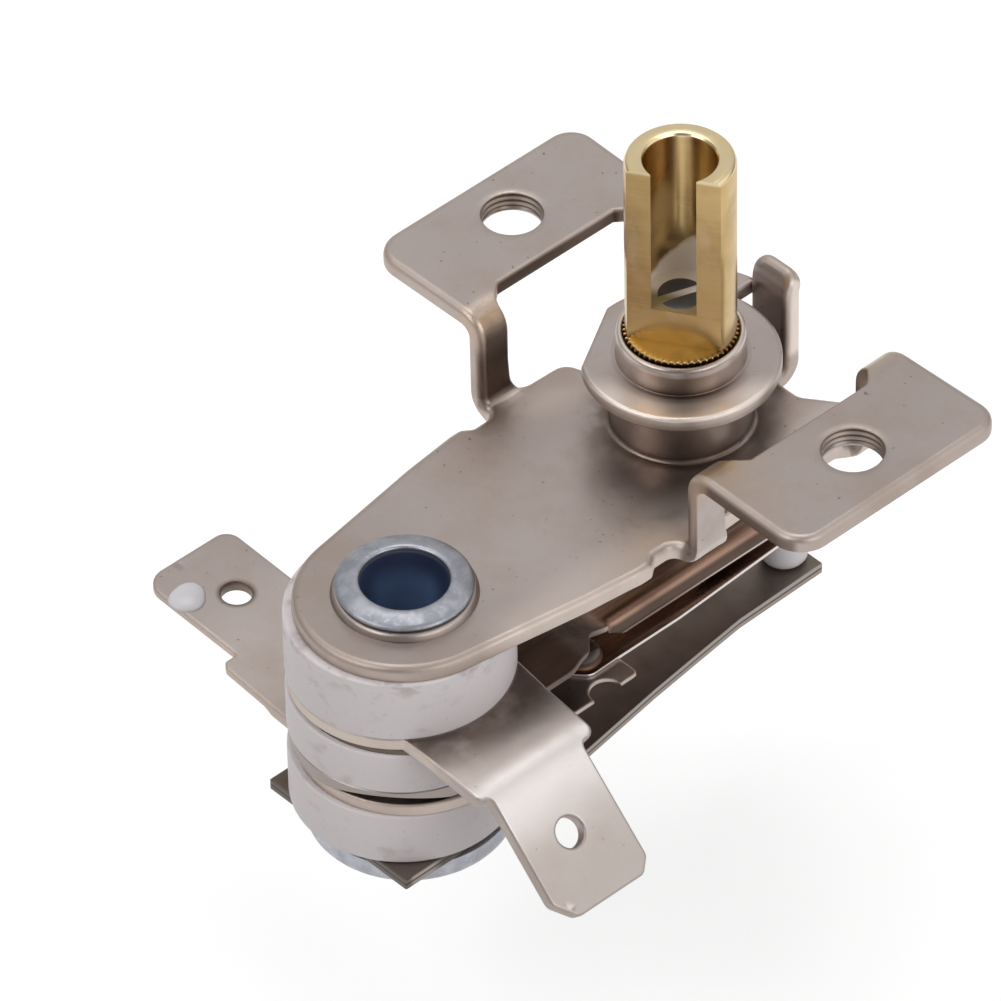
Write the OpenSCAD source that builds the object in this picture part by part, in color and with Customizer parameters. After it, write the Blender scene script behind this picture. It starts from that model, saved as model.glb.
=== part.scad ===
// Adjustable bimetal temperature switch: frame with two screw ears, clamped ceramic stack,
// two flat tabs, two contact blades, bimetal strip with bead, and a turning brass shaft.
// Millimetres, +Z along the shaft. Origin on the shaft axis in the plane of the ears' top.

/* [Frame] */
// sheet thickness of the frame
sheet = 1.0; // [0.9:0.05:1.1]
// distance from the shaft axis to the stack axis
stack_offset = 20.8; // [20.4:0.1:21.6]
// height of the ears' top over the plate's top
ear_rise = 6.1; // [5.8:0.1:6.4]
// distance between the two screw holes
ear_spacing = 27.2; // [26.8:0.1:28]
// diameter of a screw hole
ear_hole_d = 3.5; // [3.3:0.05:3.7]
// length of an ear along the frame
ear_length = 14.9; // [14.4:0.1:15.2]
// width of one leg under an ear
leg_width = 2.15; // [1.9:0.05:2.6]
// radius of the round end under the rivet
round_end_r = 6.2; // [6.0:0.05:6.4]
// half width of the plate beside the legs
plate_half = 7.75; // [7.5:0.05:7.9]
// height of the stop tab over the plate's top
stop_height = 6.7; // [6.2:0.1:7.2]
// width of the stop tab
stop_width = 3.0; // [2.6:0.1:3.4]

/* [Neck and shaft] */
// outer diameter of the drawn neck
neck_d = 8.1; // [7.8:0.05:8.4]
// height of the neck over the plate's top
neck_height = 3.65; // [3.4:0.05:3.8]
// diameter of the brass shaft
shaft_d = 6.0; // [5.8:0.05:6.2]
// height of the shaft's end over the plate's top
shaft_top = 18.65; // [17:0.25:20]
// distance of the driving flat from the shaft axis
flat_distance = 1.6; // [1.5:0.05:1.8]
// direction of the driving flat in the stored pose, degrees from +X
flat_angle = 212.6; // [205:0.5:220]
// diameter of the bore in the shaft's end
shaft_bore_d = 4.1; // [3.9:0.05:4.2]
// diameter of the stop plate
stop_plate_d = 11.2; // [10.8:0.1:11.4]
// reach of the stop plate's tongue from the shaft axis
tongue_reach = 7.5; // [7.2:0.05:7.6]

/* [Stack] */
// outer diameter of the ceramic rings
ring_d = 12.8; // [12.4:0.05:13]
// height of the upper ceramic ring
upper_ring_h = 4.1; // [3.8:0.1:4.4]
// height of the middle ceramic ring
middle_ring_h = 2.8; // [2.6:0.1:3.0]
// height of the lower ceramic ring
lower_ring_h = 3.5; // [3.2:0.1:3.8]
// bore of the tubular rivet
rivet_bore_d = 4.95; // [4.7:0.05:5.1]
// diameter of the rivet's rolled rim
rivet_rim_d = 8.1; // [7.6:0.1:8.2]
// diameter of the rivet's head
rivet_head_d = 11.8; // [11.4:0.1:12]

/* [Tabs and blades] */
// thickness of the tabs
tab_t = 0.8; // [0.7:0.05:0.85]
// width of a tab's narrow end
tab_width = 6.5; // [6.2:0.05:6.8]
// angle of the right tab under the horizontal
tab_angle = 45; // [40:1:50]
// diameter of the hole in a tab
tab_hole_d = 1.75; // [1.6:0.05:1.9]
// thickness of the upper blade
upper_blade_t = 0.4; // [0.35:0.05:0.45]
// thickness of the lower blade
lower_blade_t = 0.2; // [0.2:0.05:0.35]
// thickness of the bimetal strip
bimetal_t = 0.7; // [0.6:0.05:0.8]
// slope of the bimetal strip's free part, degrees
bimetal_slope = 1.7; // [1.4:0.1:2]
// diameter of the ceramic bead
bead_d = 2.8; // [2.4:0.1:3.2]

/* [Hidden] */
$fn = 48;
eps = 0.01;
gap = 0.03;
plate_top = -ear_rise;
plate_low = plate_top - sheet;
ear_low = -sheet;
ear_y = ear_spacing / 2;
ear_in = ear_y - 3.6;
ear_out = ear_y + 3.6;
ear_half = ear_length / 2;
ear_corner = 2.0;
ear_flare = 0.55;
leg_in = ear_in - 1.85;
leg_out = leg_in + sheet;
leg_x = ear_half - leg_width;
low_bend = 0.5;
high_bend = ear_in - leg_out - 0.2;
lobe_r = 2.4;
lobe_y = leg_in - 2.55;
lobe_x = 3.6;
ear_strip = 3.0;
stop_in = 6.65;
stop_half = stop_width / 2;
stop_corner = 0.9;

stack_x = -stack_offset;
ring_r = ring_d / 2;
rivet_bore_r = rivet_bore_d / 2;
rivet_r = rivet_bore_r + 0.5;
hole_r = rivet_r + 0.05;
ring_shift = [-0.25, 0.22, 0];
core_r = rivet_r + 0.4;
spigot_r = 4.1;
eye_r = spigot_r + 0.4;
disc_r = ring_r - 0.08;
washer_h = 1.0;
z_tab1 = plate_low - upper_ring_h;
z_blade1 = z_tab1 - tab_t;
z_ring2 = z_blade1 - upper_blade_t;
z_washer = z_ring2 - middle_ring_h;
z_tab2 = z_washer - washer_h;
z_ring3 = z_tab2 - tab_t;
z_bimetal = z_ring3 - lower_ring_h;
z_head = z_bimetal - bimetal_t;
head_h = 1.6;
rim_h = 0.85;
clamp_edge = stack_x + ring_r - 0.05;

tab_half = tab_width / 2;
wide_half = tab_half + 1.2;
tab1_reach = 10.0;
tab1_fall_y = 6.4;
tab1_fall = 5.3;
tab1_shift = -0.5;
tab1_len = 7.5;
tab1_hole = 3.3;
tab1_shoulder = 0.6;
tab2_rise_y = 6.6;
tab2_rise = 2.6;
tab2_shoulder_y = 10.7;
tab2_tip_y = 18.75;
tab2_hole = 4.7;
tip_cut = 1.2;

blade1_low = z_blade1 - 2.5;
blade1_half = 3.4;
blade1_start = clamp_edge + 1.4;
blade1_flat = clamp_edge + 5.4;
blade1_end = 6.2;
blade1_lip = 1.0;
blade2_half = 4.1;
blade2_tip_half = 3.6;
blade2_start = -11.7;
blade2_end = 8.4;
ext_half = 5.57;
ext_end = -8.65;
notch_r = 1.05;
blade_plate_t = 0.36;
notch_x = -10.95;
blade_rivet_x = blade2_start + 1.5;
blade_rivet_y = 2.5;

contact_x = 3.4;
contact_r = 1.7;
contact_room = blade1_low - (z_tab2 + lower_blade_t);
contact_1_h = contact_room * 0.52;
contact_2_h = contact_room - contact_1_h - 0.04;

bimetal_back = -26.25;
bimetal_half = 5.6;
bimetal_tip = 8.7;
bimetal_tip_half = 2.4;
bend_x = clamp_edge + 0.1;
bead_x = 7.4;
bead_y = -0.55;
bead_foot = z_bimetal - (bead_x - bend_x) * tan(bimetal_slope);
bead_r = bead_d / 2;

shaft_r = shaft_d / 2;
thread_r = 2.55;
shaft_low = plate_top - 1.5;
knurl_r = shaft_r + 0.2;
disc_low = plate_top + neck_height + 0.05;
disc_t = 0.95;
collar_r = knurl_r + 0.42;
collar_top = disc_low + disc_t + 1.85;
bore_floor = plate_top + 8.9;
screw_r = 1.4;
screw_top = bore_floor + 0.15;
pin_r = 1.5;
pin_top = plate_top + 1.0;
pin_low = blade1_low + upper_blade_t + 0.02;
tongue_side = stop_half + gap;
tongue_axis = flat_angle - 180;

// both sides of the frame
module both_y() {
    children();
    mirror([0, 1, 0]) children();
}

// both ends of an ear
module both_x() {
    children();
    mirror([1, 0, 0]) children();
}

// ring profile turned about the Z axis: inner and outer radius, bottom and top
module tube(r_in, r_out, z0, z1) {
    difference() {
        translate([0, 0, z0]) cylinder(r = r_out, h = z1 - z0);
        translate([0, 0, z0 - 1]) cylinder(r = r_in, h = z1 - z0 + 2);
    }
}

// quarter of a sheet bend about an axis along X, from straight down round to +Y
module bend_up(width, r_in, t) {
    rotate([90, 0, 90])
        rotate([0, 0, -90])
            intersection() {
                tube(r_in, r_in + t, 0, width);
                cube([r_in + t + 1, r_in + t + 1, width]);
            }
}

// quarter of a sheet bend about an axis along X, from -Y round to straight up
module bend_over(width, r_in, t) {
    rotate([90, 0, 90])
        rotate([0, 0, 90])
            intersection() {
                tube(r_in, r_in + t, 0, width);
                cube([r_in + t + 1, r_in + t + 1, width]);
            }
}

// plan of the plate without the ears
module plate_plan() {
    difference() {
        union() {
            translate([stack_x, 0]) circle(r = round_end_r, $fn = 96);
            polygon([
                [stack_x - 1.05, round_end_r - 0.09],
                [-14, plate_half - 0.4],
                [-10.4, plate_half],
                [-9.6, plate_half],
                [-9.0, plate_half - 0.5],
                [-7, plate_half - 0.5],
                [-7, 0.5 - plate_half],
                [-9.0, 0.5 - plate_half],
                [-9.6, -plate_half],
                [-10.4, -plate_half],
                [-14, 0.4 - plate_half],
                [stack_x - 1.05, -round_end_r + 0.09]]);
            translate([-10, -lobe_y]) square([15.9, 2 * lobe_y]);
            both_y() both_x() {
                translate([lobe_x, lobe_y]) circle(r = lobe_r);
                translate([lobe_x, 0]) square([ear_half - lobe_x, leg_in - low_bend]);
            }
            translate([5, -stop_half]) square([stop_in - low_bend - 5, stop_width]);
        }
        both_y() {
            polygon([[5.9, stop_half], [5.9, 3.3], [ear_half, 5.4], [ear_half + 1, 5.4], [9, stop_half]]);
            translate([-ear_half - 0.8, leg_in]) circle(r = 0.8);
        }
        translate([stack_x, 0]) circle(r = hole_r);
        circle(r = thread_r + 0.05);
    }
}

// plan of one ear with its two strips to the legs
module ear_plan() {
    difference() {
        union() {
            polygon([
                [-ear_half, ear_in],
                [ear_half, ear_in],
                [ear_half + ear_flare, ear_out - ear_corner],
                [-ear_half, ear_out - ear_corner]]);
            translate([-ear_half + ear_corner, ear_in])
                square([ear_length + ear_flare - 2 * ear_corner, ear_out - ear_in]);
            translate([-ear_half + ear_corner, ear_out - ear_corner]) circle(r = ear_corner);
            translate([ear_half + ear_flare - ear_corner, ear_out - ear_corner]) circle(r = ear_corner);
            both_x()
                translate([ear_half - ear_strip, leg_out + high_bend])
                    square([ear_strip, ear_in - leg_out - high_bend + 0.5]);
        }
        translate([0, ear_y]) circle(r = ear_hole_d / 2);
    }
}

// one leg: bend out of the plate, riser, bend into the ear
module leg() {
    translate([leg_x, leg_in - low_bend, plate_top + low_bend]) bend_up(leg_width, low_bend, sheet);
    translate([leg_x, leg_in, plate_top + low_bend])
        cube([leg_width, sheet, ear_low - high_bend - plate_top - low_bend]);
    translate([leg_x, leg_out + high_bend, ear_low - high_bend]) bend_over(leg_width, high_bend, sheet);
}

// upright tab that ends the shaft's turn
module stop_tab() {
    translate([stop_in - low_bend, -stop_half, plate_top + low_bend])
        rotate([0, 0, -90]) translate([-stop_width, 0, 0]) bend_up(stop_width, low_bend, sheet);
    translate([stop_in, -stop_half, plate_top + low_bend])
        cube([sheet, stop_width, stop_height - low_bend - stop_corner]);
    translate([stop_in, -stop_half + stop_corner, plate_top + low_bend])
        cube([sheet, stop_width - 2 * stop_corner, stop_height - low_bend]);
    both_y()
        translate([stop_in, stop_half - stop_corner, plate_top + stop_height - stop_corner])
            rotate([0, 90, 0]) cylinder(r = stop_corner, h = sheet);
}

// neck drawn up out of the plate, with a rounded root
module neck() {
    rotate_extrude($fn = 96)
        difference() {
            translate([thread_r + 0.05, plate_top - 0.5])
                square([neck_d / 2 + 0.6 - thread_r - 0.05, neck_height + 0.5]);
            translate([neck_d / 2, plate_top + 0.6]) square([2, neck_height]);
            translate([neck_d / 2 + 0.6, plate_top + 0.6]) circle(r = 0.6);
        }
}

module mounting_frame() {
    color([0.63, 0.60, 0.57]) {
        translate([0, 0, plate_low]) linear_extrude(sheet) plate_plan();
        both_y() {
            translate([0, 0, ear_low]) linear_extrude(sheet) ear_plan();
            both_x() leg();
        }
        stop_tab();
        neck();
        translate([stack_x, 0, 0])
            tube(rivet_rim_d / 2 + gap, rivet_rim_d / 2 + 0.4, plate_top - 0.5, plate_top + 0.17);
    }
}

module tubular_rivet() {
    color([0.68, 0.71, 0.75])
        translate([stack_x, 0, 0]) {
            tube(rivet_bore_r, rivet_r, z_head, plate_top);
            rotate_extrude($fn = 96)
                difference() {
                    union() {
                        translate([rivet_bore_r, plate_top])
                            square([rivet_rim_d / 2 - 0.4 - rivet_bore_r, rim_h]);
                        translate([rivet_bore_r, plate_top]) square([rivet_rim_d / 2 - rivet_bore_r, 0.45]);
                        translate([rivet_rim_d / 2 - 0.4, plate_top + 0.45]) circle(r = 0.4, $fn = 32);
                    }
                    translate([rivet_bore_r - 0.1, plate_top + rim_h - 0.3])
                        polygon([[0, 0], [0.1, 0], [0.4, 0.3], [0.4, 0.5], [0, 0.5]]);
                }
            rotate_extrude($fn = 96)
                polygon([
                    [rivet_bore_r, z_head],
                    [rivet_head_d / 2, z_head],
                    [rivet_head_d / 2, z_head - 0.9],
                    [rivet_head_d / 2 - 0.15, z_head - 1.25],
                    [rivet_head_d / 2 - 0.5, z_head - head_h],
                    [rivet_bore_r + 0.6, z_head - head_h],
                    [rivet_bore_r, z_head - head_h + 0.6]]);
        }
}

// ceramic ring with an optional spigot that goes down through the metal below it
module ring(z_low, height, spigot) {
    color([0.84, 0.81, 0.81])
        translate([stack_x, 0, 0] + ring_shift) {
            rotate_extrude($fn = 96)
                polygon([
                    [core_r, z_low],
                    [ring_r - 0.12, z_low],
                    [ring_r, z_low + 0.12],
                    [ring_r, z_low + height - 0.12],
                    [ring_r - 0.12, z_low + height],
                    [core_r, z_low + height]]);
            if (spigot > 0) tube(core_r, spigot_r, z_low - spigot, z_low + 0.5);
        }
}

module upper_ceramic_ring() ring(z_tab1, upper_ring_h, tab_t + upper_blade_t - 0.05);
module middle_ceramic_ring() ring(z_washer, middle_ring_h, washer_h + tab_t - 0.05);
module lower_ceramic_ring() ring(z_bimetal, lower_ring_h, 0);

// narrow tab from y = 0 to y = reach, with cut corners and a hole
module tab_plan(reach, hole) {
    difference() {
        polygon([
            [-tab_half, 0],
            [tab_half, 0],
            [tab_half, reach - tip_cut],
            [tab_half - tip_cut * 0.8, reach],
            [-tab_half + tip_cut * 0.8, reach],
            [-tab_half, reach - tip_cut]]);
        translate([0, hole]) circle(r = tab_hole_d / 2);
    }
}

// right tab: disc in the stack, neck toward -Y that falls a little, then bent down
module right_terminal() {
    inner_r = 1.2;
    reach = tab1_reach - tab1_fall_y;
    end_y = tab1_fall_y + reach * cos(tab1_fall);
    turns = [for (i = [0 : 10]) tab1_fall + (tab_angle - tab1_fall) * i / 10];
    centre = [inner_r * sin(tab1_fall) - end_y, -reach * sin(tab1_fall) - inner_r * cos(tab1_fall)];
    along = [-cos(tab_angle), -sin(tab_angle)];
    outer = [for (a = turns) centre + (inner_r + tab_t) * [-sin(a), cos(a)]];
    inner = [for (a = turns) centre + inner_r * [-sin(a), cos(a)]];
    root = inner[10];
    color([0.74, 0.71, 0.69])
        translate([stack_x, 0, z_blade1])
            difference() {
                intersection() {
                    rotate([90, 0, 90])
                        translate([0, 0, -10])
                            linear_extrude(20)
                                polygon(concat(
                                    [[-tab1_fall_y, 0], [8, 0], [8, tab_t]],
                                    [[-tab1_fall_y - tab_t * tan(tab1_fall / 2), tab_t]],
                                    outer,
                                    [outer[10] + tab1_len * along, root + tab1_len * along],
                                    [for (i = [0 : 10]) inner[10 - i]]));
                    translate([0, 0, -12])
                        linear_extrude(20) {
                            translate(ring_shift) circle(r = disc_r, $fn = 96);
                            translate([-wide_half, -30]) square([2 * wide_half, 30]);
                        }
                }
                translate([0, 0, -5]) cylinder(r = eye_r, h = 10);
                translate([tab1_shift + tab_half, -40, -20]) cube([10, 40 - end_y - tab1_shoulder, 30]);
                translate([tab1_shift - tab_half - 10, -40, -20]) cube([10, 40 - end_y - tab1_shoulder, 30]);
                translate([tab1_shift, root[0], root[1]])
                    rotate([tab_angle, 0, 0])
                        translate([0, 0, -1]) {
                            translate([0, -tab1_hole, 0]) cylinder(d = tab_hole_d, h = 4);
                            both_x()
                                translate([tab_half, -tab1_len])
                                    linear_extrude(4)
                                        polygon(tip_cut * [[-1.6, -1], [3, -3], [0.8, 2]]);
                        }
            }
}

// left tab: disc in the stack, neck toward +Y that rises a little, plate toward +X for the lower blade
module left_terminal() {
    far_y = 22;
    ext = ext_end - stack_x;
    color([0.66, 0.63, 0.61])
        translate([stack_x, 0, z_ring3])
            difference() {
                intersection() {
                    rotate([90, 0, 90])
                        translate([0, 0, -10])
                            linear_extrude(30)
                                polygon([
                                    [-8, 0],
                                    [tab2_rise_y, 0],
                                    [far_y, (far_y - tab2_rise_y) * tan(tab2_rise)],
                                    [far_y, (far_y - tab2_rise_y) * tan(tab2_rise) + tab_t / cos(tab2_rise)],
                                    [tab2_rise_y - tab_t * tan(tab2_rise / 2), tab_t],
                                    [-8, tab_t]]);
                    translate([0, 0, -3])
                        linear_extrude(8)
                            difference() {
                                union() {
                                    circle(r = disc_r, $fn = 96);
                                    polygon([
                                        [-wide_half, 0],
                                        [wide_half, 0],
                                        [wide_half, tab2_shoulder_y - 0.6],
                                        [wide_half - 0.6, tab2_shoulder_y],
                                        [0.6 - wide_half, tab2_shoulder_y],
                                        [-wide_half, tab2_shoulder_y - 0.6]]);
                                    translate([0, tab2_shoulder_y - 1])
                                        tab_plan(tab2_tip_y - tab2_shoulder_y + 1, tab2_hole);
                                    translate([0, -ext_half]) square([ext, 2 * ext_half]);
                                }
                                circle(r = eye_r);
                                both_y() {
                                    translate([notch_x - stack_x, ext_half]) circle(r = notch_r);
                                    translate([blade_rivet_x - stack_x, blade_rivet_y]) circle(r = 0.8);
                                }
                            }
                }
                translate([ring_r + 0.5, -ext_half - 1, -1])
                    cube([ext, 2 * ext_half + 2, 1 + tab_t - blade_plate_t]);
            }
}

// washer whose rim is raised in front, so a lens of air shows under it
module clamp_washer() {
    front_angle = 219;
    sag = 0.68;
    half = 3.5;
    arch_r = (half * half + sag * sag) / (2 * sag);
    color([0.60, 0.57, 0.55])
        translate([stack_x, 0, 0] + ring_shift)
            difference() {
                tube(eye_r, disc_r, z_tab2, z_washer);
                rotate([0, 0, front_angle])
                    translate([spigot_r + 0.9, 0, z_tab2 + sag - arch_r])
                        rotate([0, 90, 0]) cylinder(r = arch_r, h = 4, $fn = 128);
            }
}

// side profile of the upper blade in x and z, from the clamp to the level part
module blade1_step(t) {
    x0 = blade1_start;
    x1 = blade1_flat;
    polygon([
        [x0, z_ring2],
        [x1, blade1_low],
        [x1, blade1_low + t],
        [x0, z_ring2 + t]]);
}

// upper blade: eye in the stack, step down, then a channel under the shaft
module upper_contact_blade() {
    t = upper_blade_t;
    color([0.60, 0.38, 0.26]) {
        translate([0, 0, z_ring2])
            linear_extrude(t)
                difference() {
                    union() {
                        translate([stack_x, 0]) circle(r = disc_r, $fn = 96);
                        translate([stack_x, -disc_r])
                            square([blade1_start - stack_x, 2 * disc_r]);
                    }
                    translate([stack_x, 0]) circle(r = eye_r);
                }
        intersection() {
            rotate([90, 0, 0])
                translate([0, 0, -disc_r]) linear_extrude(2 * disc_r) blade1_step(t);
            translate([0, 0, blade1_low - 1])
                linear_extrude(8)
                    polygon([
                        [blade1_start - 0.1, -disc_r],
                        [blade1_start + 1.2, -disc_r + 0.3],
                        [blade1_flat - 1.2, -blade1_half - 0.4],
                        [blade1_flat + 0.1, -blade1_half],
                        [blade1_flat + 0.1, blade1_half],
                        [blade1_flat - 1.2, blade1_half + 0.4],
                        [blade1_start + 1.2, disc_r - 0.3],
                        [blade1_start - 0.1, disc_r]]);
        }
        translate([blade1_flat, -blade1_half, blade1_low])
            cube([blade1_end - blade1_flat, 2 * blade1_half, t]);
        both_y()
            translate([blade1_flat + 0.5, blade1_half - t, blade1_low - blade1_lip + t])
                cube([blade1_end - blade1_flat - 0.5, t, blade1_lip]);
    }
}

// lower blade: thin spring that lies on the left tab's plate and reaches over the bead
module lower_contact_blade() {
    color([0.52, 0.40, 0.33])
        translate([0, 0, z_tab2])
            linear_extrude(lower_blade_t)
                difference() {
                    union() {
                        polygon([
                            [blade2_start, -2.6],
                            [blade2_start + 0.5, -3.4],
                            [blade2_start + 1.4, -3.95],
                            [ext_end, -blade2_half],
                            [-4, -blade2_half],
                            [5.4, -blade2_tip_half],
                            [blade2_end, -2.0],
                            [blade2_end, 2.0],
                            [5.4, blade2_tip_half],
                            [-4, blade2_half],
                            [ext_end, blade2_half],
                            [blade2_start + 1.4, 3.95],
                            [blade2_start + 0.5, 3.4],
                            [blade2_start, 2.6]]);
                    }
                    translate([-6.2, -0.8]) square([6.0, 1.6]);
                    translate([-6.2, 0]) circle(r = 0.8);
                    translate([-0.2, 0]) circle(r = 0.8);
                    both_y() translate([blade_rivet_x, blade_rivet_y]) circle(r = 0.8);
                }
}

module blade_rivets() {
    color([0.72, 0.42, 0.30])
        both_y()
            translate([blade_rivet_x, blade_rivet_y, 0]) {
                translate([0, 0, z_tab2 - blade_plate_t]) cylinder(r = 0.8, h = blade_plate_t + lower_blade_t);
                translate([0, 0, z_tab2 + lower_blade_t]) cylinder(r1 = 1.3, r2 = 0.9, h = 0.45);
                translate([0, 0, z_tab2 - blade_plate_t - 0.5]) cylinder(r1 = 1.0, r2 = 1.4, h = 0.5);
            }
}

module upper_contact() {
    color([0.80, 0.80, 0.80])
        translate([contact_x, 0, blade1_low - contact_1_h]) cylinder(r = contact_r, h = contact_1_h);
}

module lower_contact() {
    color([0.80, 0.80, 0.80])
        translate([contact_x, 0, z_tab2 + lower_blade_t]) cylinder(r = contact_r, h = contact_2_h);
}

// outline of the strip's free part
module bimetal_free_plan() {
    difference() {
        polygon([
            [bend_x, -5.35],
            [-12, -4.85],
            [-5.7, -3.75],
            [-1.6, -3.05],
            [1.4, -bimetal_tip_half],
            [bimetal_tip, -bimetal_tip_half],
            [bimetal_tip, bimetal_tip_half],
            [1.4, bimetal_tip_half],
            [-1.6, 3.05],
            [-5.7, 3.75],
            [-12, 4.85],
            [bend_x, 5.35]]);
        translate([-11.6, -0.65]) square([4.4, 1.3]);
        translate([-11.6, 0]) circle(r = 0.65);
        translate([-7.2, 0]) circle(r = 0.65);
        translate([-13.1, 3.3]) circle(r = 0.95);
        translate([bead_x, bead_y]) circle(r = 0.75);
    }
}

module bimetal_strip() {
    color([0.42, 0.37, 0.35]) {
        translate([0, 0, z_head])
            linear_extrude(bimetal_t)
                difference() {
                    polygon([
                        [bimetal_back, -bimetal_half],
                        [-15.6, -bimetal_half],
                        [bend_x, -5.35],
                        [bend_x, 5.35],
                        [-15.6, bimetal_half],
                        [bimetal_back, bimetal_half]]);
                    translate([stack_x, 0]) circle(r = hole_r);
                }
        translate([bend_x, 0, z_bimetal])
            rotate([0, bimetal_slope, 0])
                translate([-bend_x, 0, -bimetal_t])
                    linear_extrude(bimetal_t) bimetal_free_plan();
    }
}

// bead that stands on the strip's end, with a stub through the strip
module ceramic_bead() {
    top = z_tab2 - 0.03;
    color([0.90, 0.88, 0.89])
        translate([bend_x, 0, z_bimetal])
            rotate([0, bimetal_slope, 0])
                translate([bead_x - bend_x, bead_y, 0]) {
                    cylinder(r = 0.7, h = 2.4, center = true);
                    rotate_extrude()
                        polygon([
                            [0, 0],
                            [bead_r - 0.25, 0],
                            [bead_r, 0.3],
                            [bead_r, top - bead_foot - 0.75],
                            [bead_r - 0.5, top - bead_foot - 0.25],
                            [bead_r - 1.0, top - bead_foot - 0.06],
                            [0, top - bead_foot - 0.06]]);
                }
}

module push_pin() {
    color([0.88, 0.86, 0.86])
        translate([0, 0, pin_low]) {
            cylinder(r1 = pin_r - 0.4, r2 = pin_r, h = 0.4);
            translate([0, 0, 0.4]) cylinder(r = pin_r, h = pin_top - pin_low - 0.4);
        }
}

module brass_shaft() {
    flat_low = collar_top + 0.1;
    color([0.78, 0.62, 0.34])
        difference() {
            union() {
                translate([0, 0, shaft_low]) cylinder(r = thread_r, h = disc_low - shaft_low);
                translate([0, 0, disc_low]) cylinder(r = knurl_r, h = collar_top + 0.05 - disc_low);
                translate([0, 0, disc_low]) cylinder(r = shaft_r, h = plate_top + shaft_top - disc_low - 0.3);
                translate([0, 0, plate_top + shaft_top - 0.3])
                    cylinder(r1 = shaft_r, r2 = shaft_r - 0.3, h = 0.3);
            }
            rotate([0, 0, flat_angle])
                translate([flat_distance, -5, flat_low]) cube([5, 10, 30]);
            translate([0, 0, bore_floor]) cylinder(d = shaft_bore_d, h = 30);
            translate([0, 0, shaft_low - 1]) cylinder(r = screw_r + 0.02, h = 30);
            translate([0, 0, shaft_low - 1]) cylinder(r = pin_r + 0.04, h = pin_top + 0.05 - shaft_low + 1);
        }
}

// stop plate pressed on the shaft: disc with a flat, a tongue, and a drawn collar
module stop_plate() {
    color([0.66, 0.63, 0.63]) {
        translate([0, 0, disc_low])
            linear_extrude(disc_t)
                difference() {
                    union() {
                        circle(d = stop_plate_d, $fn = 96);
                        intersection() {
                            circle(r = tongue_reach, $fn = 96);
                            translate([0, tongue_side]) square([20, 20]);
                            rotate([0, 0, 2 * tongue_axis])
                                translate([0, -tongue_side - 20]) square([20, 20]);
                        }
                    }
                    rotate([0, 0, flat_angle - 92])
                        translate([stop_plate_d / 2 - 0.6, -8]) square([5, 16]);
                    circle(r = knurl_r);
                }
        rotate_extrude($fn = 96)
            difference() {
                translate([knurl_r, disc_low + disc_t - 0.3])
                    square([collar_r - knurl_r + 0.3, collar_top - disc_low - disc_t + 0.3]);
                translate([collar_r, disc_low + disc_t + 0.3]) square([2, 3]);
                translate([collar_r + 0.3, disc_low + disc_t + 0.3]) circle(r = 0.3, $fn = 32);
            }
    }
}

// slotted screw that sets the switching point, seen at the bottom of the shaft's bore
module setting_screw() {
    color([0.36, 0.37, 0.40])
        difference() {
            translate([0, 0, pin_top + 0.03]) cylinder(r = screw_r, h = screw_top - pin_top - 0.03);
            rotate([0, 0, -19])
                translate([-3, -0.25, screw_top - 0.5]) cube([6, 0.5, 2]);
        }
}

mounting_frame();
tubular_rivet();
upper_ceramic_ring();
middle_ceramic_ring();
lower_ceramic_ring();
right_terminal();
left_terminal();
clamp_washer();
upper_contact_blade();
lower_contact_blade();
blade_rivets();
upper_contact();
lower_contact();
bimetal_strip();
ceramic_bead();
push_pin();
brass_shaft();
stop_plate();
setting_screw();
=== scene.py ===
"""Looks of an adjustable bimetal temperature switch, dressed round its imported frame.

Lengths are written in millimetres and become metres when a mesh is made. The Z axis is the shaft's
axis, and z = 0 is the plane of the two ears' top faces.
"""
import math

import bmesh
import bpy
import numpy as np
from mathutils import Matrix, Vector
from mathutils.geometry import delaunay_2d_cdt


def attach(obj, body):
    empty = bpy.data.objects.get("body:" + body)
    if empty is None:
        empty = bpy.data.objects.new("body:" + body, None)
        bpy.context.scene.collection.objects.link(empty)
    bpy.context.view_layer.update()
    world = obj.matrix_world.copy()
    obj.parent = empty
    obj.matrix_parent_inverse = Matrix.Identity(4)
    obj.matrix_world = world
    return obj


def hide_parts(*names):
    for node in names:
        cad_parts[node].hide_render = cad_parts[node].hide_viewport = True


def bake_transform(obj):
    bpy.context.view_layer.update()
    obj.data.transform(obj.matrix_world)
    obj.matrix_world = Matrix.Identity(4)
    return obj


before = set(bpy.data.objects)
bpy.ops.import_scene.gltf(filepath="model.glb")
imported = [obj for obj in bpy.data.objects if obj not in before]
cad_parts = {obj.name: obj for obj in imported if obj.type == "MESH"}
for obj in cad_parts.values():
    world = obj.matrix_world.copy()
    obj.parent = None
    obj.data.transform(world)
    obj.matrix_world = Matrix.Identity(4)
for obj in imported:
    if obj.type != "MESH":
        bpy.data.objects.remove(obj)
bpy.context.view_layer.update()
MM = 0.001

# Levels of the frame and the stack
SHEET = 1.0
PLATE_TOP, PLATE_LOW = -6.1, -7.1
STACK_X = -20.8
RING_R = 6.4
RING_CENTRE = (STACK_X - 0.25, 0.22)
Z_TAB1, Z_BLADE1, Z_RING2 = -11.2, -12.0, -12.4
Z_WASHER, Z_TAB2, Z_RING3 = -15.2, -16.2, -17.0
Z_BIMETAL, Z_HEAD, Z_END = -20.5, -21.2, -22.8
BEND_X = -14.35


def arc(cx, cy, r, a0, a1, step=0.15):
    """Points on a circle from angle a0 to a1 in degrees, about one step apart."""
    n = max(4, int(math.ceil(abs(math.radians(a1 - a0)) * r / step)))
    a = np.radians(np.linspace(a0, a1, n + 1))
    return np.c_[cx + r * np.cos(a), cy + r * np.sin(a)]


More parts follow.
